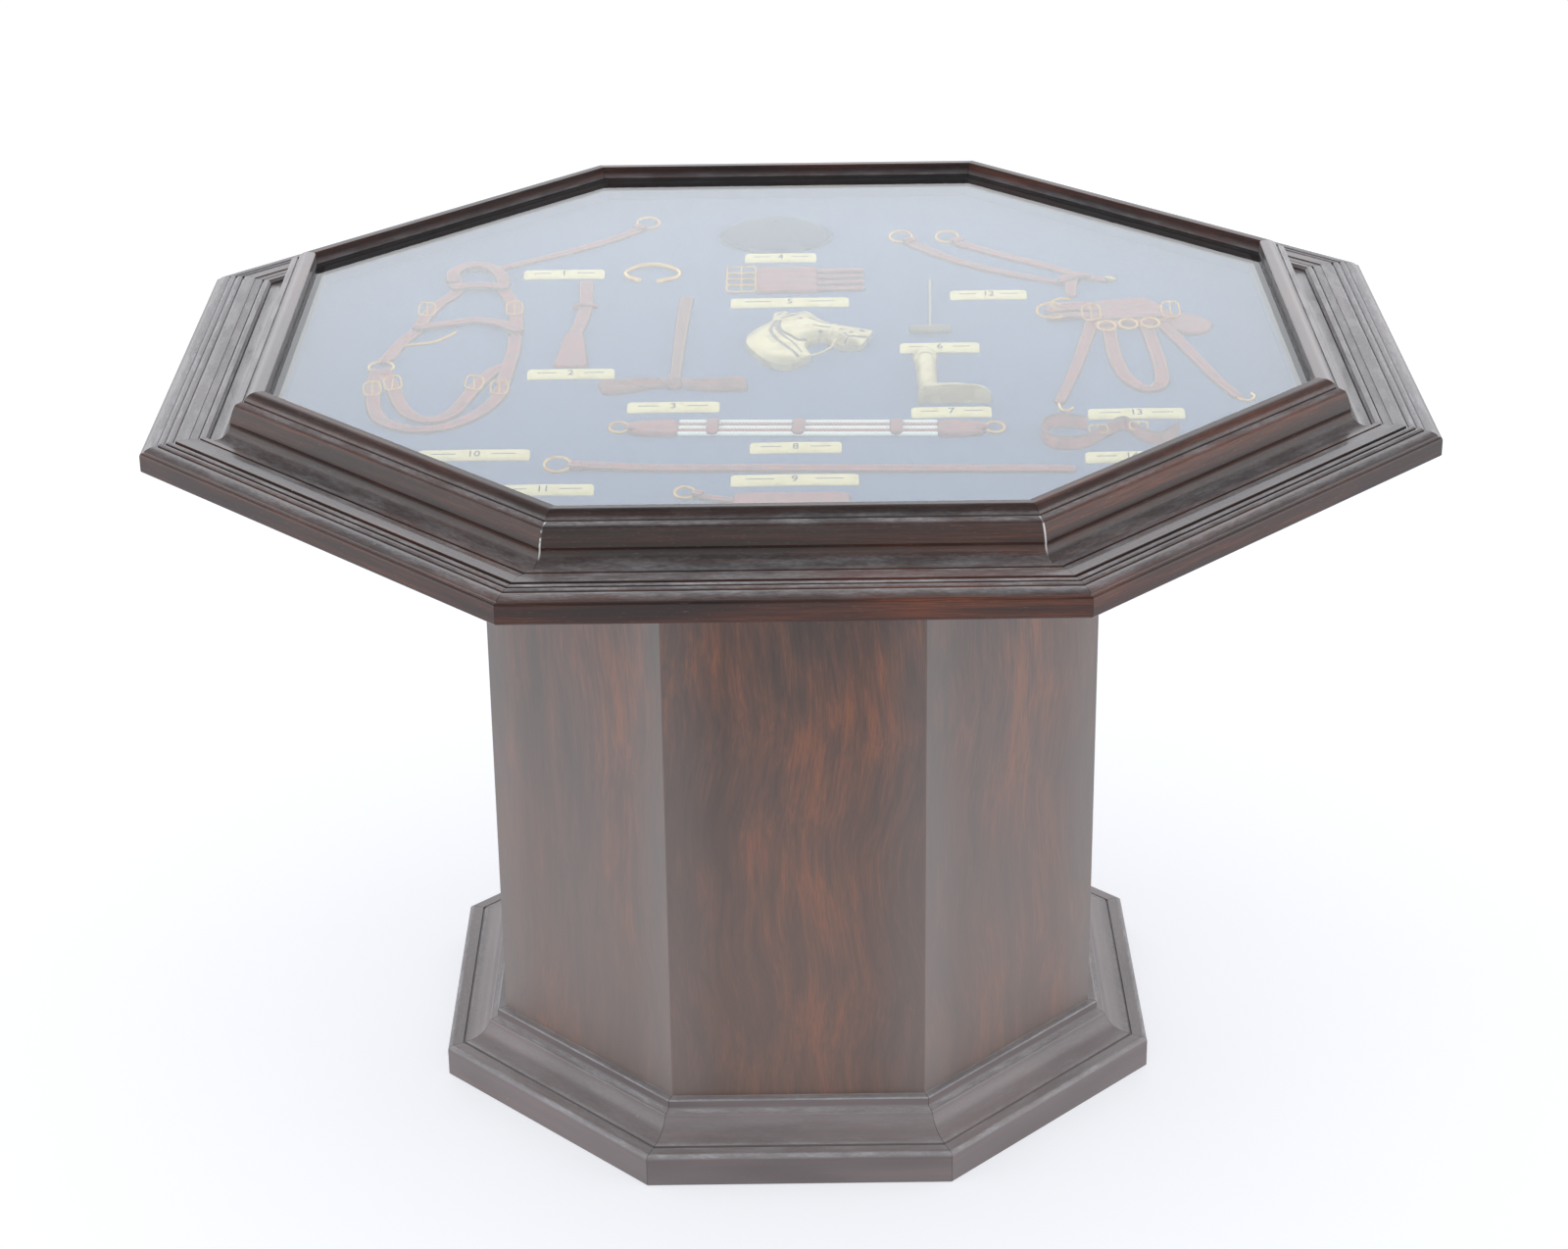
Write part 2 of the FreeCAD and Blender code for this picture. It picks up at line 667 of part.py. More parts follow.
def horse_head():
    body_height = horse_height - horse_layer
    rise = Vector(0, 0, horse_height)
    body = outline_face(horse_outline_shares, flat_spot).extrude(rise)
    body = body.common(crown_roll(body_height, horse_crown))
    floor_roll = crown_roll(body_height - horse_groove_depth, horse_crown)
    for route in (neck_groove_shares, mane_groove_shares):
        groove = ribbon(route, horse_groove_width, horse_groove_width, horse_height)
        body = body.cut(groove.cut(floor_roll))
    head = outline_face(head_outline_shares, flat_spot).extrude(rise)
    head = head.common(crown_roll(horse_height, horse_crown))
    rein = ribbon(rein_shares, rein_width, rein_width, rein_height)
    return body.fuse([head, rein]).removeSplitter()


# Boot, lying on its back with the sole facing the front
boot_ankle_share = (0.27, -0.262)
boot_top_share = (0.27, -0.058)
boot_sole_front_share = -0.32
boot_heel_share = 0.245
boot_toe_share = 0.39
boot_instep_share = 0.315
boot_sole_profile_shares = (
    (0.0, 0.0), (0.0, 0.62), (0.05, 0.88, 0.2, 1.0), (0.68, 1.0), (0.93, 0.72, 1.0, 0.0),
)
boot_vamp_profile_shares = (
    (0.0, 0.0), (0.0, 0.62), (0.07, 0.88), (0.2, 0.98), (0.66, 0.98), (0.86, 0.78), (0.96, 0.42), (1.0, 0.0),
)


def vamp_ring(y, heel, toe, height):
    """Ring of corners of the upper across the foot, at one y."""
    return [Vector(heel + across * (toe - heel), y, cloth_top + up * height)
            for across, up in boot_vamp_profile_shares]


def boot():
    front = boot_sole_front_share * case_reach
    ankle = spot(boot_ankle_share)
    top = spot(boot_top_share)
    heel, toe = boot_heel_share * case_reach, boot_toe_share * case_reach
    instep = boot_instep_share * case_reach
    sole = profile_face(boot_sole_profile_shares, heel, cloth_top, toe - heel, boot_foot_height)
    sole.translate(Vector(0, front, 0))
    sole = sole.extrude(Vector(0, boot_sole_thickness, 0))
    heel_inset = heel + boot_welt
    vamp = facet_solid([
        vamp_ring(front + boot_sole_thickness, heel_inset, toe - boot_welt, boot_foot_height - boot_welt),
        vamp_ring(ankle.y, heel_inset, instep, boot_shaft_radius),
    ])
    shaft_length = top.y - ankle.y
    shaft = Part.makeCylinder(boot_shaft_radius, shaft_length, ankle, Vector(0, 1, 0))
    cuff_start = Vector(top.x, top.y - boot_cuff_length, top.z)
    cuff = Part.makeCylinder(boot_cuff_radius, boot_cuff_length, cuff_start, Vector(0, 1, 0))
    half_space = Part.makeBox(case_reach, case_reach, case_reach, Vector(0, -case_reach, cloth_top))
    round_parts = shaft.fuse(cuff).common(half_space)
    return sole.fuse([vamp, round_parts]).removeSplitter()


# Spur: an open heel band with a button at each front corner
spur_shares = (
    (-0.31, 0.523), (-0.345, 0.468), (-0.325, 0.425), (-0.28, 0.413), (-0.242, 0.43), (-0.232, 0.474),
    (-0.265, 0.52),
)
spur_button_shares = (spur_shares[2], spur_shares[4])


def spur():
    rise = Vector(0, 0, pad_thickness)
    pieces = [ribbon(spur_shares, spur_width, spur_width, wire_thickness)]
    for share in spur_button_shares:
        pieces.append(Part.Face(ring_wire(spot(share), spur_button_radius)).extrude(rise))
    return joined(pieces)


# Riding helmet: an oval dome on a thin brim, with a button on the crown
helmet_middle_share = (-0.025, 0.717)
helmet_sides = 20
helmet_level_shares = (0.0, 0.3, 0.56, 0.78, 0.92, 0.985)


def helmet_ring(up_share, brim=0):
    """Ring of the dome at a share of its height, or of the brim that stands out round its foot."""
    spread = math.sqrt(1 - up_share ** 2)
    half_width = spread * helmet_half_width + brim
    half_depth = spread * helmet_half_depth + brim
    middle = spot(helmet_middle_share, up_share * helmet_dome_height)
    angles = [math.radians(360 * index / helmet_sides) for index in range(helmet_sides)]
    return [middle + Vector(half_width * math.cos(a), half_depth * math.sin(a), 0) for a in angles]


def riding_helmet():
    dome = facet_solid([helmet_ring(share) for share in helmet_level_shares])
    brim = flat_face(helmet_ring(0, helmet_brim)).extrude(Vector(0, 0, helmet_brim_thickness))
    crown = ring_wire(spot(helmet_middle_share), helmet_button_radius)
    button = Part.Face(crown).extrude(Vector(0, 0, helmet_button_height))
    return dome.fuse([brim, button]).removeSplitter()


# Mallet: a thin cane with a cigar head across its end
mallet_top_share = (0.3, 0.4)
mallet_head_share = (0.287, 0.08)


def mallet():
    top, end = spot(mallet_top_share), spot(mallet_head_share)
    along = (end - top).normalize()
    cane = block((top + end) / 2, along, (end - top).Length, mallet_rod_width, mallet_rod_width)
    start = Vector(end.x - mallet_head_length / 2, end.y, end.z + mallet_head_radius)
    head = Part.makeCylinder(mallet_head_radius, mallet_head_length, start, Vector(1, 0, 0))
    return cane.fuse(head).removeSplitter()


# Name plates: middle of each on the cloth, and its length as a share of the case's reach
label_shares = (
    (-0.477, 0.465, 0.172), (-0.432, -0.145, 0.172), (-0.225, -0.335, 0.178), (-0.015, 0.557, 0.154),
    (0.003, 0.265, 0.246), (0.302, -0.02, 0.16), (0.308, -0.38, 0.154), (0.009, -0.554, 0.172),
    (0.006, -0.714, 0.234), (-0.591, -0.572, 0.209), (-0.452, -0.748, 0.185), (0.418, 0.298, 0.16),
    (0.66, -0.4, 0.185), (0.63, -0.622, 0.172),
)


def label_plate(share):
    """Plate with cut back corners and a slightly peaked back edge."""
    middle = spot(share[:2])
    half = share[2] * case_reach / 2
    front, back = middle.y - label_depth / 2, middle.y + label_depth / 2
    left, right = middle.x - half, middle.x + half
    return flat_face([
        Vector(left, back - label_corner, cloth_top), Vector(left, front, cloth_top),
        Vector(right, front, cloth_top), Vector(right, back - label_corner, cloth_top),
        Vector(right - label_corner, back, cloth_top), Vector(middle.x, back + label_crown, cloth_top),
        Vector(left + label_corner, back, cloth_top),
    ]).extrude(Vector(0, 0, label_thickness))


def label_plates():
    return Part.makeCompound([label_plate(share) for share in label_shares])


# Every node by name
def nodes():
    shapes = {}
    rails = (("frame_rail", frame_rail()), ("ledge_rail", ledge_rail()),
             ("column_panel", column_panel()), ("plinth_rail", plinth_rail()))
    for stem, rail in rails:
        for index, side_name in enumerate(side_names):
            shapes[stem + "_" + side_name] = turned(rail, index)
    shapes["core_board"] = core_board()
    shapes["display_board"] = octagon(case_reach - board_clearance, frame_base, board_thickness)
    shapes["felt_lining"] = octagon(case_reach - board_clearance, frame_base + board_thickness,
                                    cloth_thickness)
    shapes["spacer_fillets"] = spacer_fillets()
    shapes["glass_pane"] = octagon(case_reach - glass_clearance, glass_bottom, glass_thickness)
    shapes["column_head_plate"] = octagon(inner_column_reach, top_underside - plate_thickness,
                                          plate_thickness)
    shapes["column_foot_plate"] = octagon(inner_column_reach, foot_plate_rise, plate_thickness)
    shapes["glue_blocks"] = glue_blocks()
    makers = (bridle_straps, lead_rein, whip, bow_strap, knee_guards, girth_ends, girth_cords,
              surcingle_straps, breastplate_straps, martingale_straps, coiled_strap, tack_hardware,
              horse_head, boot, spur, riding_helmet, mallet, label_plates)
    forward = Vector(0, -tack_forward_share * case_reach, 0)
    for maker in makers:
        shapes[maker.__name__] = maker().translated(forward)
    return shapes


def main():
    os.makedirs("parts", exist_ok=True)
    for name, shape in nodes().items():
        print(name, len(shape.Solids), "solids", round(shape.Volume), "mm3", shape.isValid())
        shape.exportStep("parts/" + name + ".step")


main()
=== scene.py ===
# %% [markdown]
# # Octagonal side table with a glazed display top
#
# The table is a hollow eight-sided column on a moulded plinth. It carries a wide top of two mitred
# mouldings, and under the glass of the raised frame a set of miniature riding tack lies on navy cloth.
# A finished CAD model gives every size and place. This notebook dresses it: wood, glass and boards keep
# their CAD shapes and get materials, and the soft and modelled tack is built again in finer mesh, piece
# by piece, in the same place.

# %% Load the frame
import bmesh
import bpy
import math
import numpy as np
from mathutils import Matrix, Vector
from mathutils.geometry import delaunay_2d_cdt


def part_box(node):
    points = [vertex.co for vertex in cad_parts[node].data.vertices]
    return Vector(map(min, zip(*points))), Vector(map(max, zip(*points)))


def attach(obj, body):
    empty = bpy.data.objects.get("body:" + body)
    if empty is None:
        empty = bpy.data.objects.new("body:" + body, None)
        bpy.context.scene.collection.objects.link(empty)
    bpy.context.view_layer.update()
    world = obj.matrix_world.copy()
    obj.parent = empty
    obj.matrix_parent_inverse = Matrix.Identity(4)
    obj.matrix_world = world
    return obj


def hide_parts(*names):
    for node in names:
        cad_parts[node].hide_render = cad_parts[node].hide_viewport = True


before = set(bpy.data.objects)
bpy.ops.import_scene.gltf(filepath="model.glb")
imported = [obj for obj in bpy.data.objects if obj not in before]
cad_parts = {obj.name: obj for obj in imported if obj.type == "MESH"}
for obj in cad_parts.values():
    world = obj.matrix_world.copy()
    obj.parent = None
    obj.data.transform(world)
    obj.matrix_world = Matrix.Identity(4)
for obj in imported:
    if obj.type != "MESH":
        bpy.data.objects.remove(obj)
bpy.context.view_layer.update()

# %% [markdown]
# ## Sizes that everything shares
#
# The eight sides are counted round from the front, as the CAD model counts them. Places on the display
# cloth are written as shares of the case's reach, which is the distance from the middle of the table to
# the inner face of the frame. So a place is right at once if the frame changes size.

# %% Sides, heights and places on the cloth
side_names = ("front", "front_right", "right", "back_right", "back", "back_left", "left", "front_left")
side_turn = math.tau / len(side_names)
mitre_slope = math.tan(side_turn / 2)
direction_count = len(side_names) // 2
mm = 0.001

case_reach = -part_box("frame_rail_front")[1].y
frame_reach = -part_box("frame_rail_front")[0].y
top_reach = -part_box("ledge_rail_front")[0].y
column_reach = -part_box("column_panel_front")[0].y
plinth_reach = -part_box("plinth_rail_front")[0].y
cloth_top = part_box("felt_lining")[1].z
glass_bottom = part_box("glass_pane")[0].z
case_depth = glass_bottom - cloth_top


def spot(share, height=0.0):
    """Place on the cloth from its two shares, at a height over it in metres."""
    return np.array([share[0] * case_reach, share[1] * case_reach, cloth_top + height])


print("case reach", round(case_reach, 4), "depth under the glass", round(case_depth, 4))

# %% [markdown]
# ## The camera
#
# The photograph looks down on the table from the front, from about two metres away. The place, the turn
# and the focal length were worked out from the corners of the octagons in the picture. The picture is
# taken with almost no roll, so the camera's axes follow from two turns and a small third one.

# %% Camera
camera_place = Vector((-0.00424, -2.15128, 1.27128))
yaw, pitch, roll = (math.radians(angle) for angle in (-0.0398, -24.4849, -0.7352))
focal_length = 79.8
film_width = 36.0

ahead = Vector((math.sin(yaw) * math.cos(pitch), math.cos(yaw) * math.cos(pitch), math.sin(pitch)))
level_right = Vector((math.cos(yaw), -math.sin(yaw), 0))
level_up = level_right.cross(ahead)
right = level_right * math.cos(roll) + level_up * math.sin(roll)
up = level_up * math.cos(roll) - level_right * math.sin(roll)

camera = bpy.data.objects.new("photo_camera", bpy.data.cameras.new("photo_camera"))
bpy.context.scene.collection.objects.link(camera)
camera.data.lens = focal_length
camera.data.sensor_width = film_width
camera.matrix_world = Matrix.Translation(camera_place) @ Matrix((right, up, -ahead)).transposed().to_4x4()
bpy.context.scene.camera = camera
print("camera at", [round(v, 3) for v in camera_place])

# %% [markdown]
# ## Colours and nodes
#
# Colours are written as sRGB hex values, as a paint chart gives them, while shaders want linear light,
# so one function turns the one into the other. Another one adds a node with its settings and its links.
# An input may be given a whole node, and then its first live output is meant. That keeps each material
# short enough to read like a recipe.

# %% Colour and node helpers
def linear(colour):
    """Linear RGBA of an sRGB hex colour."""
    channels = [int(colour[place:place + 2], 16) / 255 for place in (1, 3, 5)]
    return (*(c / 12.92 if c <= 0.04045 else ((c + 0.055) / 1.055) ** 2.4 for c in channels), 1.0)


def join(tree, node, inputs):
    """Gives a node's inputs, by name or number, a value, a hex colour, a socket or a node."""
    for name, value in inputs.items():
        if isinstance(value, bpy.types.Node):
            value = next(output for output in value.outputs if output.enabled)
        if isinstance(value, bpy.types.NodeSocket):
            tree.links.new(value, node.inputs[name])
        else:
            node.inputs[name].default_value = linear(value) if isinstance(value, str) else value


def add(tree, kind, inputs=None, stops=None, **settings):
    """New node with its settings, the stops of a colour ramp and its inputs. Shader kinds go by their
    short name."""
    node = tree.nodes.new(kind if "Node" in kind else "ShaderNode" + kind)
    for name, value in settings.items():
        setattr(node, name, value)
    if stops:
        ramp = node.color_ramp.elements
        ramp[0].position, ramp[1].position = stops[0][0], stops[-1][0]
        for place, _ in stops[1:-1]:
            ramp.new(place)
        for element, (_, colour) in zip(ramp, stops):
            element.color = linear(colour) if isinstance(colour, str) else (colour, colour, colour, 1.0)
    join(tree, node, inputs or {})
    return node


print("white is", linear("#ffffff"))

# %% [markdown]
# A material starts with its name and the plain values of its Principled shader. Wood, glass and boards
# stay as CAD nodes, and dressing gives such nodes a material, slot by slot.

# %% Materials
def new_material(name, **values):
    """Material with that name, its node tree and its Principled shader, whose plain values are set."""
    material = bpy.data.materials.new(name)
    material.use_nodes = True
    shader = material.node_tree.nodes["Principled BSDF"]
    join(material.node_tree, shader, {socket.replace("_", " "): value for socket, value in values.items()})
    return material, material.node_tree, shader


def dress(material, *nodes):
    """Gives a material to CAD nodes, on their own slots."""
    for name in nodes:
        for material_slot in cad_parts[name].material_slots:
            material_slot.material = material


print("CAD slots to dress:", sum(len(node.material_slots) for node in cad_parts.values()))

# %% [markdown]
# ## The stage
#
# The table stands on a plain white sweep in a bright room. The floor takes the table's soft shadow, and
# some plain white is added to what the camera and the reflections see of it, so that it looks white
# without more light on the table. The world is white in the same way up to the height of a wall, and a
# dim ceiling closes it above, because polish needs something dark to reflect. Its light on matt surfaces
# is set to a level at which a colour renders about as it is written.

# %% Floor
floor_half = 6.0
floor_own_white = 0.58


def seen_directly(tree):
    """Node that is 1 for camera, mirror and glass rays, and 0 for the light that falls on things."""
    path = add(tree, "LightPath").outputs
    either = add(tree, "Math", {0: path["Is Camera Ray"], 1: path["Is Glossy Ray"]}, operation="ADD")
    return add(tree, "Math", {0: either, 1: path["Is Transmission Ray"]}, operation="ADD", use_clamp=True)


floor_mesh = bpy.data.meshes.new("floor")
floor_mesh.from_pydata([(floor_half * x, floor_half * y, 0) for x, y in ((-1, -1), (1, -1), (1, 1), (-1, 1))],
                       [], [(0, 1, 2, 3)])
floor = bpy.data.objects.new("floor", floor_mesh)
bpy.context.scene.collection.objects.link(floor)

sweep, tree, shader = new_material("matt_white_sweep", Roughness=0.9, Specular_IOR_Level=0.0,
                                   Base_Color="#b9bcc1")
glow = add(tree, "Emission", {"Color": "#fbfcff", "Strength": floor_own_white})
lit = add(tree, "AddShader", {0: shader, 1: glow})
either = add(tree, "MixShader", {0: seen_directly(tree), 1: shader, 2: lit})
join(tree, tree.nodes["Material Output"], {"Surface": either})
floor_mesh.materials.append(sweep)
print("floor", 2 * floor_half, "m wide")

# %% [markdown]
# The world's colour is a ramp over the height of the direction. Only rays that see it directly get the
# ramp, while the light on things is one even white.

# %% World
room_light = 0.85
world = bpy.data.worlds.new("white_room")
world.use_nodes = True
tree = world.node_tree
falls = add(tree, "Background", {"Color": "#fbfcff", "Strength": room_light})
direction = add(tree, "NewGeometry").outputs["Position"]
height = add(tree, "SeparateXYZ", {0: direction}).outputs[2]
walls = add(tree, "ValToRGB", {0: height}, stops=(
    (0.0, "#fdfeff"), (0.46, "#fdfeff"), (0.6, "#8c8f94"), (0.8, "#3c3f44"), (1.0, "#303338")))
seen = add(tree, "Background", {"Color": walls, "Strength": 1.0})
sky = add(tree, "MixShader", {0: seen_directly(tree), 1: falls, 2: seen})
join(tree, tree.nodes["World Output"], {"Surface": sky})
bpy.context.scene.world = world
bpy.context.scene.view_settings.view_transform = "Standard"
print("room light", room_light)

# %% [markdown]
# The pale haze on the glass is a window wall behind the table, mirrored at a low angle, where glass
# reflects strongly. It is a wide soft lamp that the camera doesn't see, and it gives the flat polished
# wood its shine too. Two more lamps stand left and right and light the side panels of the column. The
# last one is a wide soft panel overhead, so large and weak that its mirror image has no edge to notice.

# %% Soft lamps
table_middle = (0, 0, 0.45)
lamps = (
    # name, place, width and height, radiance, colour
    ("window_wall", (0, 2.6, 1.5), (3.6, 1.6), 0.84, "#f3f7ff"),
    ("left_softbox", (-2.4, -0.2, 0.9), (2.8, 1.6), 1.2, "#fbfcff"),
    ("right_softbox", (2.4, -0.2, 0.9), (2.8, 1.6), 1.2, "#fbfcff"),
    ("overhead_softbox", (0, -0.4, 2.8), (3.2, 3.2), 0.09, "#ffffff"),
)
for name, place, (width, height), radiance, colour in lamps:
    lamp = bpy.data.objects.new(name, bpy.data.lights.new(name, "AREA"))
    bpy.context.scene.collection.objects.link(lamp)
    lamp.data.shape = "RECTANGLE"
    lamp.data.size, lamp.data.size_y = width, height
    lamp.data.energy = radiance * math.pi * width * height
    lamp.data.color = linear(colour)[:3]
    lamp.location = place
    lamp.rotation_euler = (Vector(table_middle) - Vector(place)).to_track_quat("-Z", "Y").to_euler()
    lamp.visible_camera = False
print("lamps:", [name for name, *_ in lamps])

# %% [markdown]
# ## Mahogany mouldings
#
# The frame, the ledge and the plinth are run mouldings in mahogany, stained dark and polished. The grain
# has to follow each rail, so the object's coordinates are turned by the rail's own direction. Opposite
# rails share a direction, and so four materials serve eight sides. The same turned coordinates give the
# distance from the table's axis, which tells where on the profile a point is, and how near to the mitre.

# %% Rail coordinates
product = {"operation": "MULTIPLY"}


def rail_places(tree, side):
    """Turned coordinates, the reach from the axis, the height, and the distance from the mitre."""
    place = add(tree, "TexCoord").outputs["Object"]
    turn = math.pi / 2 - side * side_turn
    turned = add(tree, "Mapping", {"Vector": place, "Rotation": (0, 0, turn)})
    split = add(tree, "SeparateXYZ", {0: turned}).outputs
    reach = add(tree, "Math", {0: split[0]}, operation="ABSOLUTE")
    along = add(tree, "Math", {0: split[1]}, operation="ABSOLUTE")
    half_run = add(tree, "Math", {0: reach, 1: mitre_slope}, **product)
    mitre = add(tree, "Math", {0: half_run, 1: along}, operation="SUBTRACT")
    return turned, reach, split[2], mitre


print("from one rail to the next:", round(math.degrees(side_turn), 1), "degrees")

# %% [markdown]
# All the figure of wood is streaks: fine pores, streaks a few millimetres wide, and broad patches that go
# between brown and red. Each is plain noise, stretched along the rail or up the panel. With width and
# length alike it is a cloud, and then it serves for dust, dye, nap and tarnish too.

# %% Streaks and clouds
def grain(tree, place, width, length, detail, shift=0.0, upright=False):
    """Noise in streaks of that width and length. A shift moves it on to another piece of wood."""
    scale = (1 / width, 1 / width, 1 / length) if upright else (1 / width, 1 / length, 1 / width)
    stretched = add(tree, "Mapping", {"Vector": place, "Scale": scale, "Location": (shift, shift, shift)})
    return add(tree, "TexNoise", {"Vector": stretched, "Scale": 1.0, "Detail": detail, "Roughness": 0.62})


# width, length, detail, and the shift from one side to the next
rail_pores = (0.5 * mm, 26 * mm, 3.0, 0.0)
rail_streaks = (5 * mm, 190 * mm, 4.0, 3.7)
rail_patches = (45 * mm, 210 * mm, 2.0, 5.1)
rail_flecks = (0.7 * mm, 7 * mm, 2.0, 1.3)
print("streaks from", rail_pores[0] / mm, "to", rail_patches[0] / mm, "mm wide")

# %% [markdown]
# Under the polish the wood is a ramp of browns over the streaks. A painted shade darkens the rails of each
# direction by its own amount, most on the left and right. Dark stain stays in the pores and in the hollows
# of the profile, and pale flecks of old wax lie along the grain. A smooth pale layer lies on top: on the
# left and right rails of the frame and ledge, seen at a low angle, it is a painted reflection of the bright
# room, and on the plinth it is an even pale grey on every side. A smooth map range lets each layer come in
# softly, and layered mixes lay one colour over the next.

# %% Stained wood
smooth = {"interpolation_type": "SMOOTHSTEP"}
layered = {"data_type": "RGBA"}
# Painted shade: the rails of each direction are darkened by their own amount, most on the left and right.
painted_side_shade = (0.0, 0.18, 0.4, 0.18)


def stained_wood(tree, turned, side, across, moulding):
    """Colour of a moulding's wood, with its pores and its stain."""
    pores, streaks, patches, flecks = (
        grain(tree, turned, width, length, detail, side * shift)
        for width, length, detail, shift in (rail_pores, rail_streaks, rail_patches, rail_flecks))
    tone = add(tree, "Mix", {0: 0.45, 2: streaks, 3: patches}, data_type="FLOAT")
    wood = add(tree, "ValToRGB", {0: tone}, stops=(
        (0.36, "#25130e"), (0.46, "#3e2016"), (0.54, "#572d1b"), (0.63, "#7d4026")))
    stain = add(tree, "ValToRGB", {0: across}, stops=moulding["stain"])
    in_pores = add(tree, "MapRange", {0: pores, 1: 0.62, 2: 0.42, 3: 0.0, 4: 0.55}, **smooth)
    on_flecks = add(tree, "MapRange", {0: flecks, 1: 0.64, 2: 0.74, 3: 0.0, 4: 0.2}, **smooth)
    cloudy = add(tree, "MapRange", {0: patches, 1: 0.3, 2: 0.6, 3: 0.75, 4: 1.0}, **smooth)
    # Painted reflection: this pale layer lightens the left and right rails of the frame and ledge, and greys
    # the plinth evenly.
    bloom_and_sheen = add(tree, "Math", {0: cloudy, 1: moulding["bloom_and_sheen"][side]}, **product)
    for amount, colour in ((painted_side_shade[side], "#1d1718"), (in_pores, "#1a0f0c"), (stain, "#120b0b"),
                           (on_flecks, "#8f8884"), (bloom_and_sheen, "#a1999a")):
        wood = add(tree, "Mix", {0: amount, 6: wood, 7: colour}, **layered)
    return wood, pores, stain


print("side shade:", painted_side_shade)

# %% [markdown]
# Grey dust has settled in every quirk and on the level parts. Where it lies is a ramp over the profile. It
# is broken up by clouds and specks, and kept to the surfaces that look up. A line of it lies along the
# foot of the frame's inner face too, where a cloth can't reach the edge of the glass. Its amount differs
# by direction, and the larger amount on the ledge's left and right rails is partly painted sheen.

# %% Dust
lip_width = 2 * mm
lip_low, lip_high = 3 * mm, 9 * mm


def upward(tree, low, high):
    """Node that is 1 where a surface looks up."""
    normal = add(tree, "NewGeometry").outputs["Normal"]
    level = add(tree, "SeparateXYZ", {0: normal}).outputs[2]
    return add(tree, "MapRange", {0: level, 1: low, 2: high}, **smooth)


def settled_dust(tree, turned, side, across, reach, height, moulding):
    """How thickly dust lies on a moulding, with painted sheen on the ledge's left and right rails, and the
    clouds in it.
    """
    clouds = grain(tree, turned, 6 * mm, 30 * mm, 5.0, 9.3)
    cloudy = add(tree, "MapRange", {0: clouds, 1: 0.38, 2: 0.66, 3: 0.5, 4: 1.0}, **smooth)
    specks = grain(tree, turned, 1.1 * mm, 5 * mm, 3.0, 4.4)
    speckled = add(tree, "MapRange", {0: specks, 1: 0.4, 2: 0.6, 3: 0.7, 4: 1.0}, **smooth)
    dust = add(tree, "ValToRGB", {0: across}, stops=moulding["dust"])
    # The amount by side is partly painted sheen: it is largest on the ledge's left and right rails.
    for share in (cloudy, speckled, upward(tree, 0.1, 0.7), moulding["dust_and_sheen_most"][side]):
        dust = add(tree, "Math", {0: dust, 1: share}, **product)

    inner = moulding["inner"]
    lip = add(tree, "MapRange", {0: reach, 1: inner + lip_width, 2: inner, 3: 0.0, 4: 0.5}, **smooth)
    near_glass = add(tree, "MapRange", {0: height, 1: glass_bottom + lip_high, 2: glass_bottom + lip_low},
                     **smooth)
    for share in (near_glass, cloudy):
        lip = add(tree, "Math", {0: lip, 1: share}, **product)
    return add(tree, "Math", {0: dust, 1: lip}, operation="ADD", use_clamp=True), cloudy


print("dust reaches", lip_high / mm, "mm over the underside of the glass")

# %% [markdown]
# Age has left small chips in the edges. A chip is the heart of a cell in a pattern of cells, and only a
# share of the cells has one. The mitres show as hairlines, and at the two front corners of the frame they
# have opened and been filled with something pale, along the cove.

# %% Chips and filler
chip_spacing = 14 * mm
chip_size = 0.055
chip_core = 0.35
mitre_gap = 0.35 * mm
filler_width, filler_core = 1.4 * mm, 0.5 * mm
cove_from, cove_full, cove_fades, cove_to = (case_reach + width * mm for width in (12, 15, 20, 25))


def chips(tree, place, size, share):
    """Node with small scattered marks, whose size is a share of their spacing."""
    cells = add(tree, "TexVoronoi", {"Vector": place, "Scale": 1 / chip_spacing})
    near = add(tree, "MapRange", {0: cells.outputs["Distance"], 1: size, 2: chip_core * size}, **smooth)
    pick = add(tree, "SeparateColor", {0: cells.outputs["Color"]})
    some = add(tree, "MapRange", {0: pick, 1: 1 - share, 2: 1 - 0.8 * share}, **smooth)
    return add(tree, "Math", {0: near, 1: some}, **product)


def mitre_filler(tree, turned, reach, mitre, cloudy):
    """Node that is 1 on the filler in the front mitres of the frame."""
    filler = 1.0
    front = add(tree, "SeparateXYZ", {0: turned})
    for value, low, high in ((mitre, filler_width, filler_core), (cloudy, 0.45, 0.75),
                             (reach, cove_from, cove_full), (reach, cove_to, cove_fades),
                             (front, -10 * mm, 10 * mm)):
        limit = add(tree, "MapRange", {0: value, 1: low, 2: high}, **smooth)
        filler = add(tree, "Math", {0: filler, 1: limit}, **product)
    return filler


print("chips of", round(chip_size * chip_spacing / mm, 2), "mm, one cell every", chip_spacing / mm, "mm")

# %% [markdown]
# Polished mahogany has a hard clear film over the stained ground, and the shader's coat stands for it: it
# mirrors the room in the flat parts, while dust and chips dull it and the hollows have little of it. The
# gloss of each side says how much film is left there.

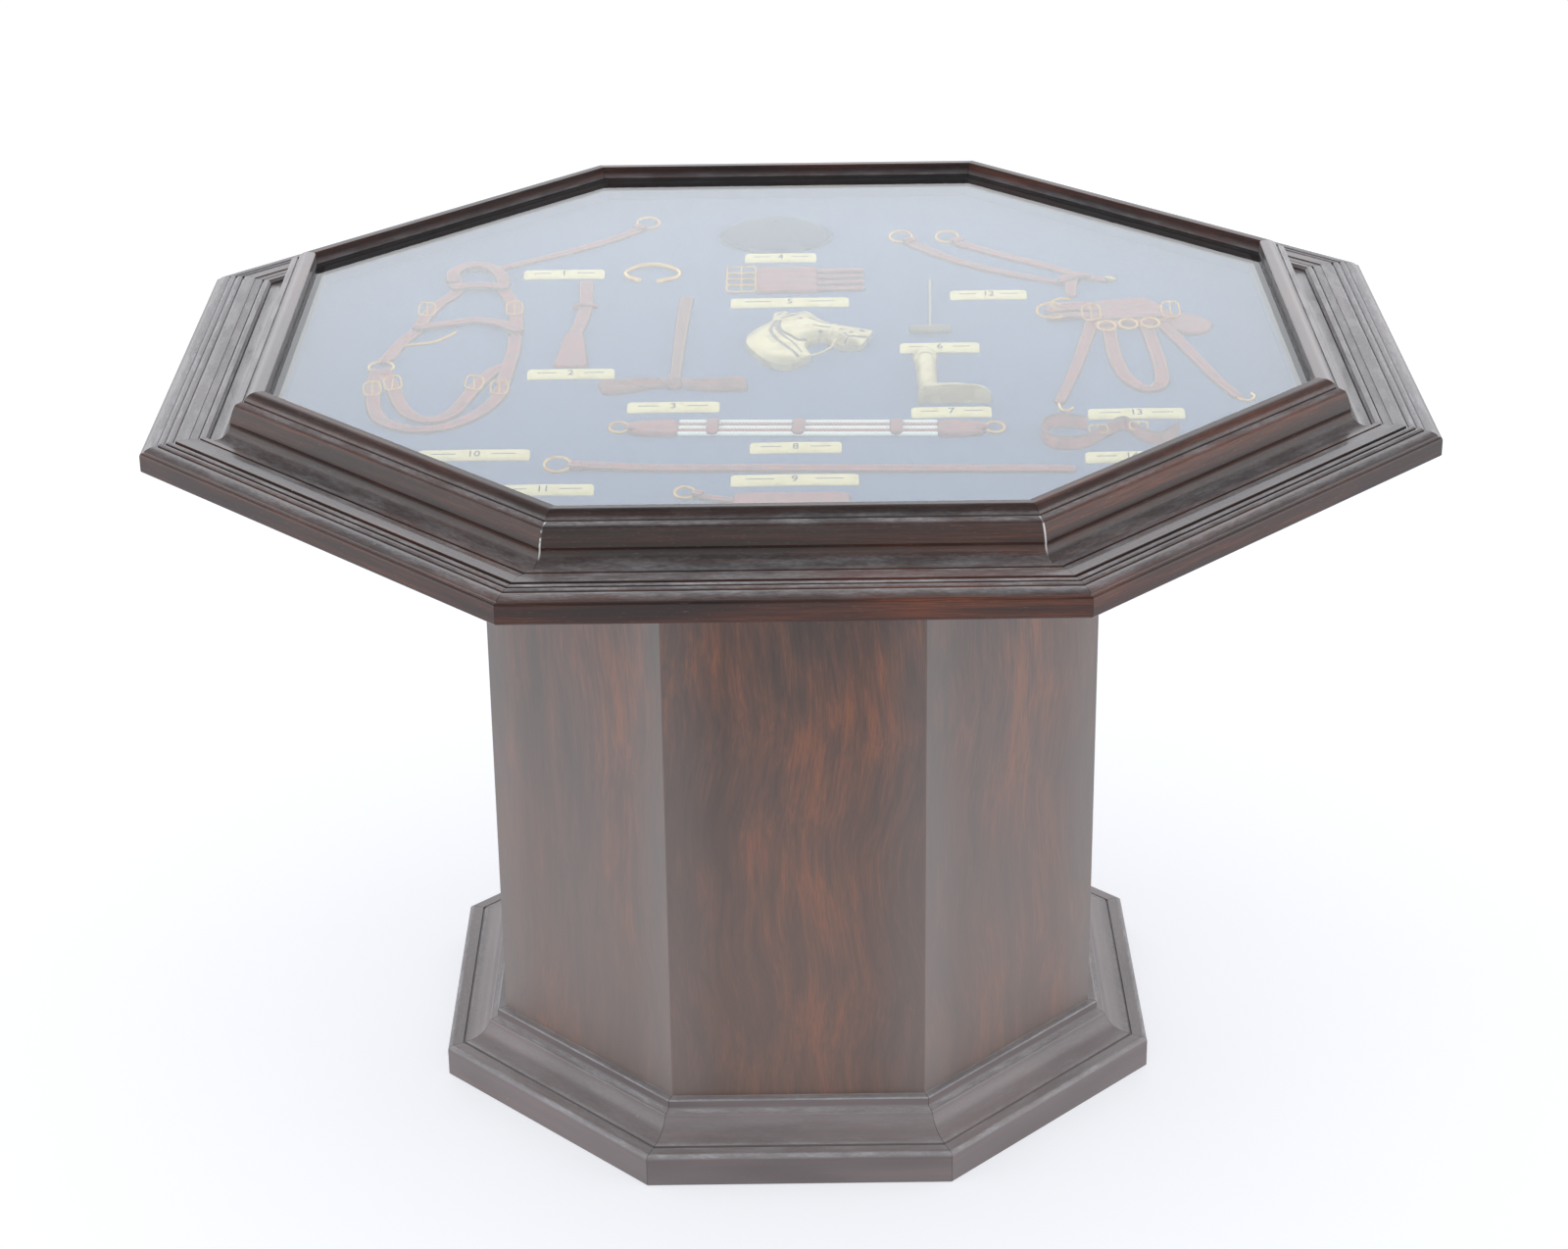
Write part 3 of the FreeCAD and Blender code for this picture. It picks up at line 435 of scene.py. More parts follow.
# %% Moulding material
def polished_moulding(name, side, moulding, open_mitres):
    """Stained and polished mahogany for the rails of one direction."""
    material, tree, shader = new_material(name, Specular_IOR_Level=0.25, Coat_Roughness=0.14, Coat_IOR=1.5)
    turned, reach, height, mitre = rail_places(tree, side)
    across = add(tree, "MapRange", {0: reach, 1: moulding["inner"], 2: moulding["outer"]})
    colour, pores, stain = stained_wood(tree, turned, side, across, moulding)
    dust, cloudy = settled_dust(tree, turned, side, across, reach, height, moulding)
    worn = chips(tree, turned, chip_size, moulding["wear"])
    on_chips = add(tree, "Math", {0: worn, 1: 0.75}, **product)
    in_seam = add(tree, "MapRange", {0: mitre, 1: mitre_gap, 2: 0.0, 3: 0.0, 4: 0.8}, **smooth)
    layers = [(dust, "#b3b3b5"), (on_chips, "#b3a399"), (in_seam, "#120b0a")]
    if open_mitres:
        layers.append((mitre_filler(tree, turned, reach, mitre, cloudy), "#efeeec"))
    for amount, paint in layers:
        colour = add(tree, "Mix", {0: amount, 6: colour, 7: paint}, **layered)

    dull = add(tree, "Math", {0: worn, 1: 0.8, 2: dust}, operation="MULTIPLY_ADD", use_clamp=True)
    rough = add(tree, "MapRange", {0: dull, 1: 0.0, 2: 0.8, 3: 0.42, 4: 0.85}, **smooth)
    gloss = add(tree, "MapRange", {0: dull, 1: 0.0, 2: 0.7, 3: moulding["gloss"][side], 4: 0.05}, **smooth)
    filmed = add(tree, "MapRange", {0: stain, 1: 0.0, 2: 0.25, 3: 0.45, 4: 1.0}, **smooth)
    film = add(tree, "Math", {0: gloss, 1: filmed}, **product)
    clouds = add(tree, "Math", {0: cloudy, 1: 0.3}, **product)
    ripple = add(tree, "Math", {0: pores, 1: 0.5, 2: clouds}, operation="MULTIPLY_ADD", use_clamp=True)
    bump = add(tree, "Bump", {"Height": ripple, "Distance": 0.15 * mm, "Strength": 0.5})
    join(tree, shader, {"Base Color": colour, "Roughness": rough, "Coat Weight": film, "Normal": bump})
    return material


print("mitre hairline", mitre_gap / mm, "mm")

# %% [markdown]
# Dust and stain follow the profile, so each moulding has a list of both over its width: 0 is its inner
# edge and 1 its outer edge. Amounts by side go from the front rails round to the right ones. A front rail
# shows the window in its flat parts. The left and right rails are seen at a low angle, where they mirror
# the bright room, so the larger amounts there, of dust on the ledge and of the pale layer on frame and
# ledge, are painted sheen, and a painted shade darkens the wood beneath.

# %% The three mouldings
mouldings = {
    "frame_rail": {
        "inner": case_reach, "outer": frame_reach, "wear": 0.25,
        "dust": ((0.0, 0.1), (0.13, 0.1), (0.25, 0.1), (0.31, 0.2), (0.355, 1.0), (0.46, 1.0), (0.51, 0.2),
                 (0.60, 0.15), (0.75, 0.6), (0.90, 1.0), (1.0, 1.0)),
        "stain": ((0.0, 0.16), (0.28, 0.16), (0.36, 0.3), (0.46, 0.15), (0.56, 0.15), (0.64, 0.25),
                  (0.69, 0.4), (0.8, 0.45), (1.0, 0.35)),
        "dust_and_sheen_most": (0.6, 0.45, 0.5, 0.45), "gloss": (0.7, 0.4, 0.8, 0.4), "bloom_and_sheen": (0.0, 0.0, 0.4, 0.0)},
    "ledge_rail": {
        "inner": frame_reach, "outer": top_reach, "wear": 0.25,
        "dust": ((0.0, 0.5), (0.10, 0.4), (0.13, 0.0), (0.16, 0.6), (0.29, 0.5), (0.45, 0.55), (0.485, 0.0),
                 (0.52, 0.6), (0.59, 0.9), (0.62, 0.0), (0.65, 0.8), (0.71, 0.6), (0.738, 0.0), (0.76, 0.8),
                 (0.86, 0.5), (0.94, 0.1), (0.97, 0.0)),
        "stain": ((0.0, 0.2), (0.93, 0.2), (0.96, 0.02), (1.0, 0.02)),
        "dust_and_sheen_most": (1.0, 0.85, 1.5, 0.85), "gloss": (0.85, 0.85, 1.0, 0.85),
        "bloom_and_sheen": (0.04, 0.04, 0.45, 0.04)},
    "plinth_rail": {
        "inner": column_reach, "outer": plinth_reach, "wear": 0.6,
        "dust": ((0.0, 0.4), (0.12, 0.6), (0.15, 1.0), (0.22, 0.9), (0.28, 0.3), (0.45, 0.15), (0.62, 0.3),
                 (0.70, 1.0), (0.76, 0.5), (0.90, 0.3), (0.94, 1.0), (0.98, 0.8)),
        "stain": ((0.0, 0.0), (1.0, 0.0)),
        "dust_and_sheen_most": (1.2, 1.1, 1.1, 1.1), "gloss": (0.75, 0.75, 0.75, 0.75),
        "bloom_and_sheen": (0.68, 0.64, 0.64, 0.64)},
}
for stem, moulding in mouldings.items():
    for side in range(direction_count):
        open_mitres = stem == "frame_rail" and side == 0
        material = polished_moulding(f"polished_mahogany_{stem}_{side}", side, moulding, open_mitres)
        dress(material, *(f"{stem}_{side_names[side + turn]}" for turn in (0, direction_count)))
print("moulding materials:", direction_count * len(mouldings))

# %% [markdown]
# ## Figured veneer on the column
#
# The column's flat panels show mahogany with a soft flame figure: upright streaks that lean and wander,
# with redder clouds low on the front. The figure is noise that is bent by slower noise before it is
# stretched, which gives the leaning flames. Its polish is thinner than that of the mouldings. The wood is
# paler low down. A painted grey sheen lies evenly over the side panels and grows towards the mitred
# corners, and a thin painted highlight runs down the corners themselves.

# %% Veneer
# width, length, detail, the shift from one side to the next, and the shift of the first
flames = (10 * mm, 95 * mm, 4.0, 2.3, 0.0)
clouds = (55 * mm, 120 * mm, 2.0, 4.1, 1.5)
fine_lines = (2 * mm, 40 * mm, 3.0, 1.7, 0.0)
bend_spacing = 170 * mm
bend_reach = (60 * mm, 60 * mm, 30 * mm)
veneer_painted_sheen = (0.05, 0.3, 0.34, 0.3)
painted_sheen_width = 42 * mm
painted_corner_highlight = 1.6 * mm


def flame_veneer(name, side, haze):
    """Polished veneer with a flame figure for the panels of one direction."""
    material, tree, shader = new_material(name, Coat_Weight=0.4, Coat_Roughness=0.3, Coat_IOR=1.5)
    turned, _, height, mitre = rail_places(tree, side)
    slow = add(tree, "TexNoise", {"Vector": turned, "Scale": 1 / bend_spacing, "Detail": 1.5})
    bend = add(tree, "VectorMath", {0: slow.outputs["Color"], 1: bend_reach}, **product)
    bent = add(tree, "VectorMath", {0: turned, 1: bend}, operation="ADD")
    flame, cloud, line = (
        grain(tree, bent, width, length, detail, first + side * shift, upright=True)
        for width, length, detail, shift, first in (flames, clouds, fine_lines))
    pores = grain(tree, turned, 0.5 * mm, 14 * mm, 2.0, upright=True)
    figure = add(tree, "Mix", {0: 0.5, 2: flame, 3: cloud}, data_type="FLOAT")
    tone = add(tree, "Mix", {0: 0.22, 2: figure, 3: line}, data_type="FLOAT")
    wood = add(tree, "ValToRGB", {0: tone}, stops=(
        (0.37, "#2b1b15"), (0.46, "#50352a"), (0.54, "#744a39"), (0.63, "#a7633f")))
    # Darker pores, paler towards the foot, a painted sheen by side that grows towards the mitres, and a
    # painted highlight on the corners.
    for value, low, high, least, most, colour in (
            (pores, 0.6, 0.4, 0.0, 0.35, "#35211b"),
            (height, 0.44, 0.12, 0.05, 0.5, "#8f7a72"),
            (mitre, painted_sheen_width, 0.0, haze, haze + 0.24, "#979391"),
            (mitre, painted_corner_highlight, 0.1 * mm, 0.0, 0.35, "#8b7a74")):
        amount = add(tree, "MapRange", {0: value, 1: low, 2: high, 3: least, 4: most}, **smooth)
        wood = add(tree, "Mix", {0: amount, 6: wood, 7: colour}, **layered)
    rough = add(tree, "MapRange", {0: cloud, 1: 0.3, 2: 0.7, 3: 0.44, 4: 0.56}, **smooth)
    bump = add(tree, "Bump", {"Height": pores, "Distance": 0.1 * mm, "Strength": 0.3})
    join(tree, shader, {"Base Color": wood, "Roughness": rough, "Normal": bump})
    return material


for side in range(direction_count):
    dress(flame_veneer(f"flame_mahogany_veneer_{side}", side, veneer_painted_sheen[side]),
          *(f"column_panel_{side_names[side + turn]}" for turn in (0, direction_count)))
print("flames", flames[0] / mm, "by", flames[1] / mm, "mm")

# %% [markdown]
# ## Boards that hold it together
#
# The core board, the two plates of the column and the glue blocks are planed softwood that nobody was
# meant to see. They show from below: pale, dry and unpolished, with straight grain.

# %% Planed softwood
planed, tree, shader = new_material("planed_softwood", Roughness=0.8)
place = add(tree, "TexCoord").outputs["Object"]
year_rings = grain(tree, place, 4 * mm, 160 * mm, 4.0)
wood = add(tree, "ValToRGB", {0: year_rings}, stops=((0.35, "#8a6a48"), (0.52, "#a98a61"), (0.68, "#c2a67b")))
bump = add(tree, "Bump", {"Height": year_rings, "Distance": 0.2 * mm, "Strength": 0.3})
join(tree, shader, {"Base Color": wood, "Normal": bump})
dress(planed, "core_board", "display_board", "column_head_plate", "column_foot_plate", "glue_blocks")
print("boards dressed:", planed.name)

# %% [markdown]
# ## Glass
#
# The pane is 4 mm float glass, a shader with full transmission. The light that falls on the cloth goes
# straight through it, because clear glass throws next to no shadow, so shadow rays and diffuse rays see
# a plain transparent shader. The haze on the pane is a true reflection of the window wall, so it moves
# when the table is seen from another side.

# %% Float glass
clear_tint = "#f3f8f6"
float_glass, tree, shader = new_material("float_glass", Roughness=0.0, IOR=1.5, Transmission_Weight=1.0,
                                         Base_Color=clear_tint)
path = add(tree, "LightPath").outputs
clear = add(tree, "BsdfTransparent", {"Color": clear_tint})
light_rays = add(tree, "Math", {0: path["Is Shadow Ray"], 1: path["Is Diffuse Ray"]}, operation="ADD",
                 use_clamp=True)
lets_light_in = add(tree, "MixShader", {0: light_rays, 1: shader, 2: clear})
join(tree, tree.nodes["Material Output"], {"Surface": lets_light_in})
dress(float_glass, "glass_pane")

# %% [markdown]
# ## Navy cloth on the display board
#
# The display board is covered in a plain-woven navy cloth, glued down flat, with a fine even weave and a
# soft sheen. A weave of 0.5 mm threads would be too fine to show in a picture of the whole table, so the
# threads are drawn 1.2 mm apart. The nap has faded in soft clouds, and a little lint lies on it.

# %% Cloth material
thread_pitch = 1.2 * mm
nap_width = 14 * mm


def woven(tree, place, pitch):
    """Node with the height of a plain weave."""
    warp, weft = (
        add(tree, "TexWave", {"Vector": place, "Scale": 1 / (pitch * math.tau), "Distortion": 0.6,
                              "Detail": 1.0, "Detail Scale": 0.6},
            wave_type="BANDS", bands_direction=direction).outputs["Fac"] for direction in "XY")
    return add(tree, "Math", {0: warp, 1: weft}, **product)


navy_cloth, tree, shader = new_material("woven_navy_cloth", Roughness=0.9, Sheen_Weight=0.25,
                                        Sheen_Roughness=0.4, Specular_IOR_Level=0.2)
place = add(tree, "TexCoord").outputs["Object"]
weave = add(tree, "MapRange", {0: woven(tree, place, thread_pitch), 1: 0.1, 2: 0.7}, **smooth)
nap = grain(tree, place, nap_width, nap_width, 4.0)
faded = add(tree, "MapRange", {0: nap, 1: 0.3, 2: 0.7, 3: 0.0, 4: 0.22}, **smooth)
lint = add(tree, "Math", {0: chips(tree, place, 0.03, 0.16), 1: 0.3}, **product)
cloth = "#2f4d7f"
for amount, colour in ((weave, "#345486"), (faded, "#4c6a9a"), (lint, "#a3b0c8")):
    cloth = add(tree, "Mix", {0: amount, 6: cloth, 7: colour}, **layered)
bump = add(tree, "Bump", {"Height": nap, "Distance": 0.3 * mm, "Strength": 0.2})
join(tree, shader, {"Base Color": cloth, "Normal": bump})
print("threads", thread_pitch / mm, "mm apart")

# %% [markdown]
# Many small things here are two close tones that fine noise mixes: stained strips, thread, cane, ink.
# One function makes them, and gives back its parts, so that a material can go on from there.

# %% Two-toned materials
def two_toned(name, fibre, dark, light, **values):
    """Material of two tones that noise mixes, then its tree, shader, place, noise and tone."""
    material, tree, shader = new_material(name, **values)
    place = add(tree, "TexCoord").outputs["Object"]
    noise = grain(tree, place, *fibre)
    tone = add(tree, "Mix", {0: noise, 6: dark, 7: light}, **layered)
    join(tree, shader, {"Base Color": tone})
    return material, tree, shader, place, noise, tone


print("materials so far:", len(bpy.data.materials))

# %% [markdown]
# Eight narrow strips stand along the rim of the cloth and carry the glass. At the foot they are stained
# in the blue of the cloth, and towards the glass they carry a painted shade of the frame's lip, dark like
# the frame. So no line of another colour shows between the cloth and the wood.

# %% Strips under the glass
blue_to, shade_from = cloth_top + 0.4 * case_depth, cloth_top + 0.55 * case_depth

shaded_fillet, tree, shader, place, _, blue = two_toned(
    "blue_fillet_painted_shade", (3 * mm, 3 * mm, 3.0), "#2d497a", "#375788", Roughness=0.8)
up_the_fillet = add(tree, "SeparateXYZ", {0: place}).outputs[2]
# Painted shade: the strips turn dark towards the glass, as in the shadow under the frame's lip.
dark = add(tree, "MapRange", {0: up_the_fillet, 1: blue_to, 2: shade_from}, **smooth)
join(tree, shader, {"Base Color": add(tree, "Mix", {0: dark, 6: blue, 7: "#1c1a20"}, **layered)})
dress(shaded_fillet, "spacer_fillets")
print("strips stand", round(case_depth / mm, 1), "mm high")

# %% [markdown]
# ## Filling an outline
#
# The cloth, the pads, the plates and the horse's head are all made in one way. An outline is filled with
# an even field of points, the points are joined to triangles, and then a rule lifts each one. Each point
# also knows how far it is from the rim, because round shoulders and burnished edges follow the rim.

# %% Filled outline
def distance_to(points, starts, ends):
    """Distance of each point from the nearest of the runs between starts and ends."""
    nearest = np.full(len(points), np.inf)
    for start, end in zip(starts, ends):
        run = end - start
        share = np.clip(((points - start) @ run) / max(run @ run, 1e-12), 0, 1)
        nearest = np.minimum(nearest, np.linalg.norm(points - (start + share[:, None] * run), axis=1))
    return nearest


def filled(outline, spacing, margin=0.45):
    """Points and triangles inside a closed outline, and each point's distance from it. The outline's own
    points come first, and the field keeps a margin from it, in spacings."""
    ends = np.roll(outline, -1, axis=0)
    low, high = outline.min(0), outline.max(0)
    rows = np.arange(low[1], high[1], spacing * math.sqrt(3) / 2)
    field = np.array([(x + (row % 2) * spacing / 2, y) for row, y in enumerate(rows)
                      for x in np.arange(low[0], high[0], spacing)])
    reach = distance_to(field, outline, ends)
    inside = np.zeros(len(field), bool)
    for (ax, ay), (bx, by) in zip(outline, ends):
        crosses = (ay > field[:, 1]) != (by > field[:, 1])
        if ay != by:
            inside ^= crosses & (field[:, 0] < (bx - ax) * (field[:, 1] - ay) / (by - ay) + ax)
    kept = inside & (reach > spacing * margin)
    points = np.vstack([outline, field[kept]])
    borders = [(i, (i + 1) % len(outline)) for i in range(len(outline))]
    made = delaunay_2d_cdt([Vector(p) for p in points], borders, [list(range(len(outline)))], 1, 1e-7)
    inset = np.concatenate([np.zeros(len(outline)), reach[kept]])
    return points, [tuple(face) for face in made[2]], inset


corner_angles = [side_turn * (side + 0.5) for side in range(len(side_names))]
octagon = np.array([(math.cos(a), math.sin(a)) for a in corner_angles]) / math.cos(side_turn / 2)
cloth_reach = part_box("felt_lining")[1].y
cloth_cell = 6 * mm
flat, triangles, _ = filled(cloth_reach * octagon, cloth_cell)
print("cloth:", len(flat), "points,", len(triangles), "triangles")

# %% [markdown]
# Each finished mesh becomes an object that rides on the table. It stands for its CAD nodes, which are
# hidden.

# %% Finished pieces
def finish_piece(name, mesh, materials, replaced=(), slot=None, sharp=40):
    """Object of a finished mesh. Edges that turn by more than the sharp angle stay crisp."""
    made = bpy.data.objects.new(name, mesh)
    bpy.context.scene.collection.objects.link(made)
    for material in materials:
        mesh.materials.append(material)
    mesh.shade_smooth()
    mesh.set_sharp_from_angle(angle=math.radians(sharp))
    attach(made, "root")
    if replaced:
        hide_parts(*replaced)
    print(name, "faces:", len(mesh.polygons))
    return made


# %% [markdown]
# The cloth is one closed sheet with a top, an underside and an edge. Its top is a fine grid of points, so
# that it can lie with the slight waves of glued cloth, which come at two rates along x and y.

# %% Cloth sheet
cloth_wave = 0.06 * mm
wave_rate = (71, 53)
cloth_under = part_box("felt_lining")[0].z
wave = cloth_wave * (np.sin(flat[:, 0] * wave_rate[0]) * np.sin(flat[:, 1] * wave_rate[1]) - 1)
top = np.column_stack([flat, cloth_top + wave])
under = np.column_stack([flat, np.full(len(flat), cloth_under)])
count, rim = len(flat), len(side_names)
faces = triangles + [tuple(count + i for i in face[::-1]) for face in triangles]
faces += [(i, count + i, count + (i + 1) % rim, (i + 1) % rim) for i in range(rim)]
cloth_mesh = bpy.data.meshes.new("navy_cloth")
cloth_mesh.from_pydata(np.vstack([top, under]).tolist(), [], faces)
lining = finish_piece("navy_cloth", cloth_mesh, [navy_cloth], ["felt_lining"], "navy_cloth")

# %% [markdown]
# ## Finishes of the tack
#
# The straps are vegetable-tanned calf in a red chestnut, with a fine pebbled grain, cloudy dye and
# darker burnished edges. Each strap's UV map holds the distance from its edge in millimetres, so the
# burnishing follows the edge whatever the strap's shape.

# %% Leather
edge_burnish = 1.6
pebble_size = 0.9 * mm


def leather(name, dark, mid, light):
    """Vegetable-tanned calf: pebbled grain, cloudy dye and burnished edges."""
    material, tree, shader = new_material(name, Specular_IOR_Level=0.45)
    coords = add(tree, "TexCoord").outputs
    pebbles = add(tree, "TexVoronoi", {"Vector": coords["Object"], "Scale": 1 / pebble_size})
    dye = grain(tree, coords["Object"], 9 * mm, 9 * mm, 4.0)
    hide = add(tree, "ValToRGB", {0: dye}, stops=((0.34, dark), (0.52, mid), (0.68, light)))
    inset = add(tree, "SeparateXYZ", {0: coords["UV"]})
    edge = add(tree, "MapRange", {0: inset, 1: edge_burnish, 2: 0.0, 3: 0.0, 4: 0.75}, **smooth)
    hide = add(tree, "Mix", {0: edge, 6: hide, 7: "#38181a"}, **layered)
    rough = add(tree, "MapRange", {0: dye, 1: 0.3, 2: 0.7, 3: 0.42, 4: 0.6}, **smooth)
    bump = add(tree, "Bump", {"Height": pebbles.outputs["Distance"], "Distance": 0.12 * mm, "Strength": 0.6})
    join(tree, shader, {"Base Color": hide, "Roughness": rough, "Normal": bump})
    return material


chestnut_calf = leather("chestnut_calf_leather", "#783337", "#954549", "#ab5a5c")
dark_calf = leather("dark_calf_leather", "#65322f", "#80433f", "#965853")
print("burnished over", edge_burnish, "mm from the edge")

# %% [markdown]
# The rings and buckles are golden polished wire. The horse's head and the boot are paler cast brass with
# a satin skin, and dark patina is left in their grooves, where no cloth polishes. On the reliefs the UV
# map holds how far a point is from a groove.

# %% Brass
polished_from = 8.0


def brass(name, worn, bright, least_rough, most_rough, metallic):
    """Brass with cloudy tarnish, which also dulls it, and patina in the grooves."""
    material, tree, shader = new_material(name, Metallic=metallic)
    coords = add(tree, "TexCoord").outputs
    tarnish = grain(tree, coords["Object"], 12 * mm, 12 * mm, 2.0)
    from_groove = add(tree, "SeparateXYZ", {0: coords["UV"]})
    tarnished = add(tree, "MapRange", {0: tarnish, 1: 0.42, 2: 0.66}, **smooth)
    patina = add(tree, "MapRange", {0: from_groove, 1: 0.0, 2: polished_from, 3: 0.85, 4: 0.0}, **smooth)
    metal = add(tree, "Mix", {0: tarnished, 6: bright, 7: worn}, **layered)
    metal = add(tree, "Mix", {0: patina, 6: metal, 7: "#4d3f35"}, **layered)
    rough = add(tree, "MapRange", {0: tarnish, 1: 0.35, 2: 0.7, 3: least_rough, 4: most_rough}, **smooth)
    join(tree, shader, {"Base Color": metal, "Roughness": rough})
    return material


satin_brass = brass("satin_relief_brass", "#c4ac7c", "#dcc896", 0.32, 0.4, 0.7)
polished_brass = brass("polished_wire_brass", "#f0a540", "#ffc963", 0.16, 0.24, 0.5)
print("brass:", satin_brass.name, polished_brass.name)

# %% [markdown]
# Waxed linen thread sews the straps. The girth's cords are soft matt cotton, white and rose, and the
# mallet's cane is varnished. The plates are cream enamel that has yellowed in clouds, with numbers in
# black ink.

# %% Thread, cords, cane, enamel and ink
waxed_thread, *_ = two_toned("waxed_linen_thread", (0.4 * mm, 0.4 * mm, 2.0), "#b98d7c", "#dcb9a4",
                             Roughness=0.6)
cottons = []
for name, dark, light in (("white_cotton_cord", "#ecebe8", "#ffffff"),
                          ("rose_cotton_cord", "#8f3f48", "#b1646a")):
    cotton, tree, shader, _, fibres, _ = two_toned(name, (0.5 * mm, 0.5 * mm, 3.0), dark, light,
                                                   Roughness=0.85, Sheen_Weight=0.8)
    bump = add(tree, "Bump", {"Height": fibres, "Distance": 0.1 * mm, "Strength": 0.5})
    join(tree, shader, {"Normal": bump})
    cottons.append(cotton)
malacca, *_ = two_toned("varnished_malacca_cane", (0.6 * mm, 20 * mm, 3.0), "#6d6255", "#96897a",
                        Roughness=0.35, Coat_Weight=0.4)
black_ink, *_ = two_toned("black_printing_ink", (0.4 * mm, 0.4 * mm, 2.0), "#2b2a2e", "#4a484c",
                          Roughness=0.6)

cream_enamel, tree, shader = new_material("cream_enamel", Roughness=0.35, Coat_Weight=0.3)
yellowing = grain(tree, add(tree, "TexCoord").outputs["Object"], 8 * mm, 8 * mm, 4.0)
yellowed = add(tree, "MapRange", {0: yellowing, 1: 0.4, 2: 0.7, 3: 0.0, 4: 0.6}, **smooth)
join(tree, shader, {"Base Color": add(tree, "Mix", {0: yellowed, 6: "#efdba8", 7: "#dac185"}, **layered)})
print("small finishes:", [m.name for m in (waxed_thread, *cottons, malacca, black_ink, cream_enamel)])

# %% [markdown]
# The helmet's velvet has a fine dark pile that has been brushed paler in places, and a soft sheen.

# %% Velvet
velvet, tree, shader, place, _, pile = two_toned(
    "dark_teal_velvet", (0.7 * mm, 0.7 * mm, 3.0), "#22364f", "#2e4761",
    Roughness=0.95, Sheen_Weight=0.4, Sheen_Roughness=0.2, Specular_IOR_Level=0.2)
strokes = grain(tree, place, 10 * mm, 10 * mm, 3.0)
brushed = add(tree, "MapRange", {0: strokes, 1: 0.4, 2: 0.65, 3: 0.0, 4: 0.3}, **smooth)
join(tree, shader, {"Base Color": add(tree, "Mix", {0: brushed, 6: pile, 7: "#46586a"}, **layered)})
print("materials:", len(bpy.data.materials))

# %% [markdown]
# ## Three ways to make a small piece
#
# Straps, wires, cords and canes are one section carried along a line. Pads, flaps and the relief are an
# outline filled with points that rise by a rule. Blocks such as the helmet and the boot are rings joined
# one to the next. Each helper returns a part: its points, its faces and a UV pair for each point.

# %% Lines
line_step = 1.2 * mm
curve_steps = 24


def smooth_line(places, step=line_step, closed=False):
    """Evenly spaced points of the smooth curve through the places."""
    ring = np.array(places, float)
    if closed:
        ring = np.vstack([ring[-1:], ring, ring[:2]])
    else:
        ring = np.vstack([2 * ring[0] - ring[1], ring, 2 * ring[-1] - ring[-2]])
    t = np.linspace(0, 1, curve_steps, endpoint=False)[:, None]
    runs = [(2 * b + (c - a) * t + (2 * a - 5 * b + 4 * c - d) * t ** 2
             + (3 * b - 3 * c + d - a) * t ** 3) / 2
            for a, b, c, d in zip(ring, ring[1:], ring[2:], ring[3:])]
    dense = np.vstack(runs + [ring[-2:-1]])
    reach = np.concatenate([[0], np.cumsum(np.linalg.norm(np.diff(dense, axis=0), axis=1))])
    even = np.linspace(0, reach[-1], max(3, round(reach[-1] / step) + 1))
    line = np.stack([np.interp(even, reach, dense[:, axis]) for axis in range(dense.shape[1])], 1)
    return line[:-1] if closed else line


def line_axes(line, closed=False):
    """Unit directions along a line, to its left and up from it."""
    if closed:
        along = np.roll(line, -1, axis=0) - np.roll(line, 1, axis=0)
    else:
        along = np.gradient(line, axis=0)
    along /= np.linalg.norm(along, axis=1)[:, None]
    left = np.cross([0, 0, 1], along)
    left /= np.linalg.norm(left, axis=1)[:, None]
    return along, left, np.cross(along, left)


print("a point every", line_step / mm, "mm")

# %% [markdown]
# Rings of equally many points, joined one to the next, make a tube. A wire is such a tube, with round
# rings that stand square to its line. It has no edge and no groove, so its UV pairs hold a distance that
# is large enough for neither to show.

# %% Tubes and wires
far_from_edge = 9.0


def lofted(rings, uv=None, closed=False):
    """Part that joins rings of equally many points, one to the next, and closes its two ends."""
    rings = np.asarray(rings)
    count, corners = rings.shape[:2]
    faces = []
    for ring in range(count if closed else count - 1):
        here, there = ring * corners, (ring + 1) % count * corners
        faces += [(here + i, here + (i + 1) % corners, there + (i + 1) % corners, there + i)
                  for i in range(corners)]
    if not closed:
        faces += [tuple(range(corners))[::-1], tuple(range((count - 1) * corners, count * corners))]
    if uv is None:
        uv = np.full((count * corners, 2), far_from_edge)
    return rings.reshape(-1, 3), faces, np.asarray(uv).reshape(-1, 2)


def wire(places, radius, closed=False, sides=10, is_smooth=True):
    """Round wire whose middle runs through the places. Several radii are spread evenly along it."""
    line = smooth_line(places, closed=closed) if is_smooth else np.array(places, float)
    _, left, up = line_axes(line, closed)
    angles = np.linspace(0, math.tau, sides, endpoint=False)
    radii = radius * np.ones(len(line)) if np.isscalar(radius) else np.interp(
        np.linspace(0, 1, len(line)), np.linspace(0, 1, len(radius)), radius)
    rings = (line[:, None] + radii[:, None, None] * (np.cos(angles)[None, :, None] * left[:, None]
                                                     + np.sin(angles)[None, :, None] * up[:, None]))
    return lofted(rings, closed=closed)


print("points of a short wire:", len(wire([spot((0, 0)), spot((0.1, 0))], 1 * mm)[0]))

# %% [markdown]
# A strap's section has square lower edges, which lie on the cloth, and a crowned top with rounded
# shoulders. Its free ends are cut round. The stitch lines near its two edges are kept, and the stitches
# are set along them later, all in one go.

# %% Straps
strap_section = np.array([(-1, 0), (-1, 0.55), (-0.93, 0.86), (-0.8, 1.0), (0, 1.06), (0.8, 1.0),
                          (0.93, 0.86), (1, 0.55), (1, 0)])
strap_thickness = 1.8 * mm
strap_width = 10 * mm
narrow_width = 7.2 * mm
end_roundness = 0.9
stitch_inset = 1.1 * mm
stitch_height = 1.02
stitch_lines = []


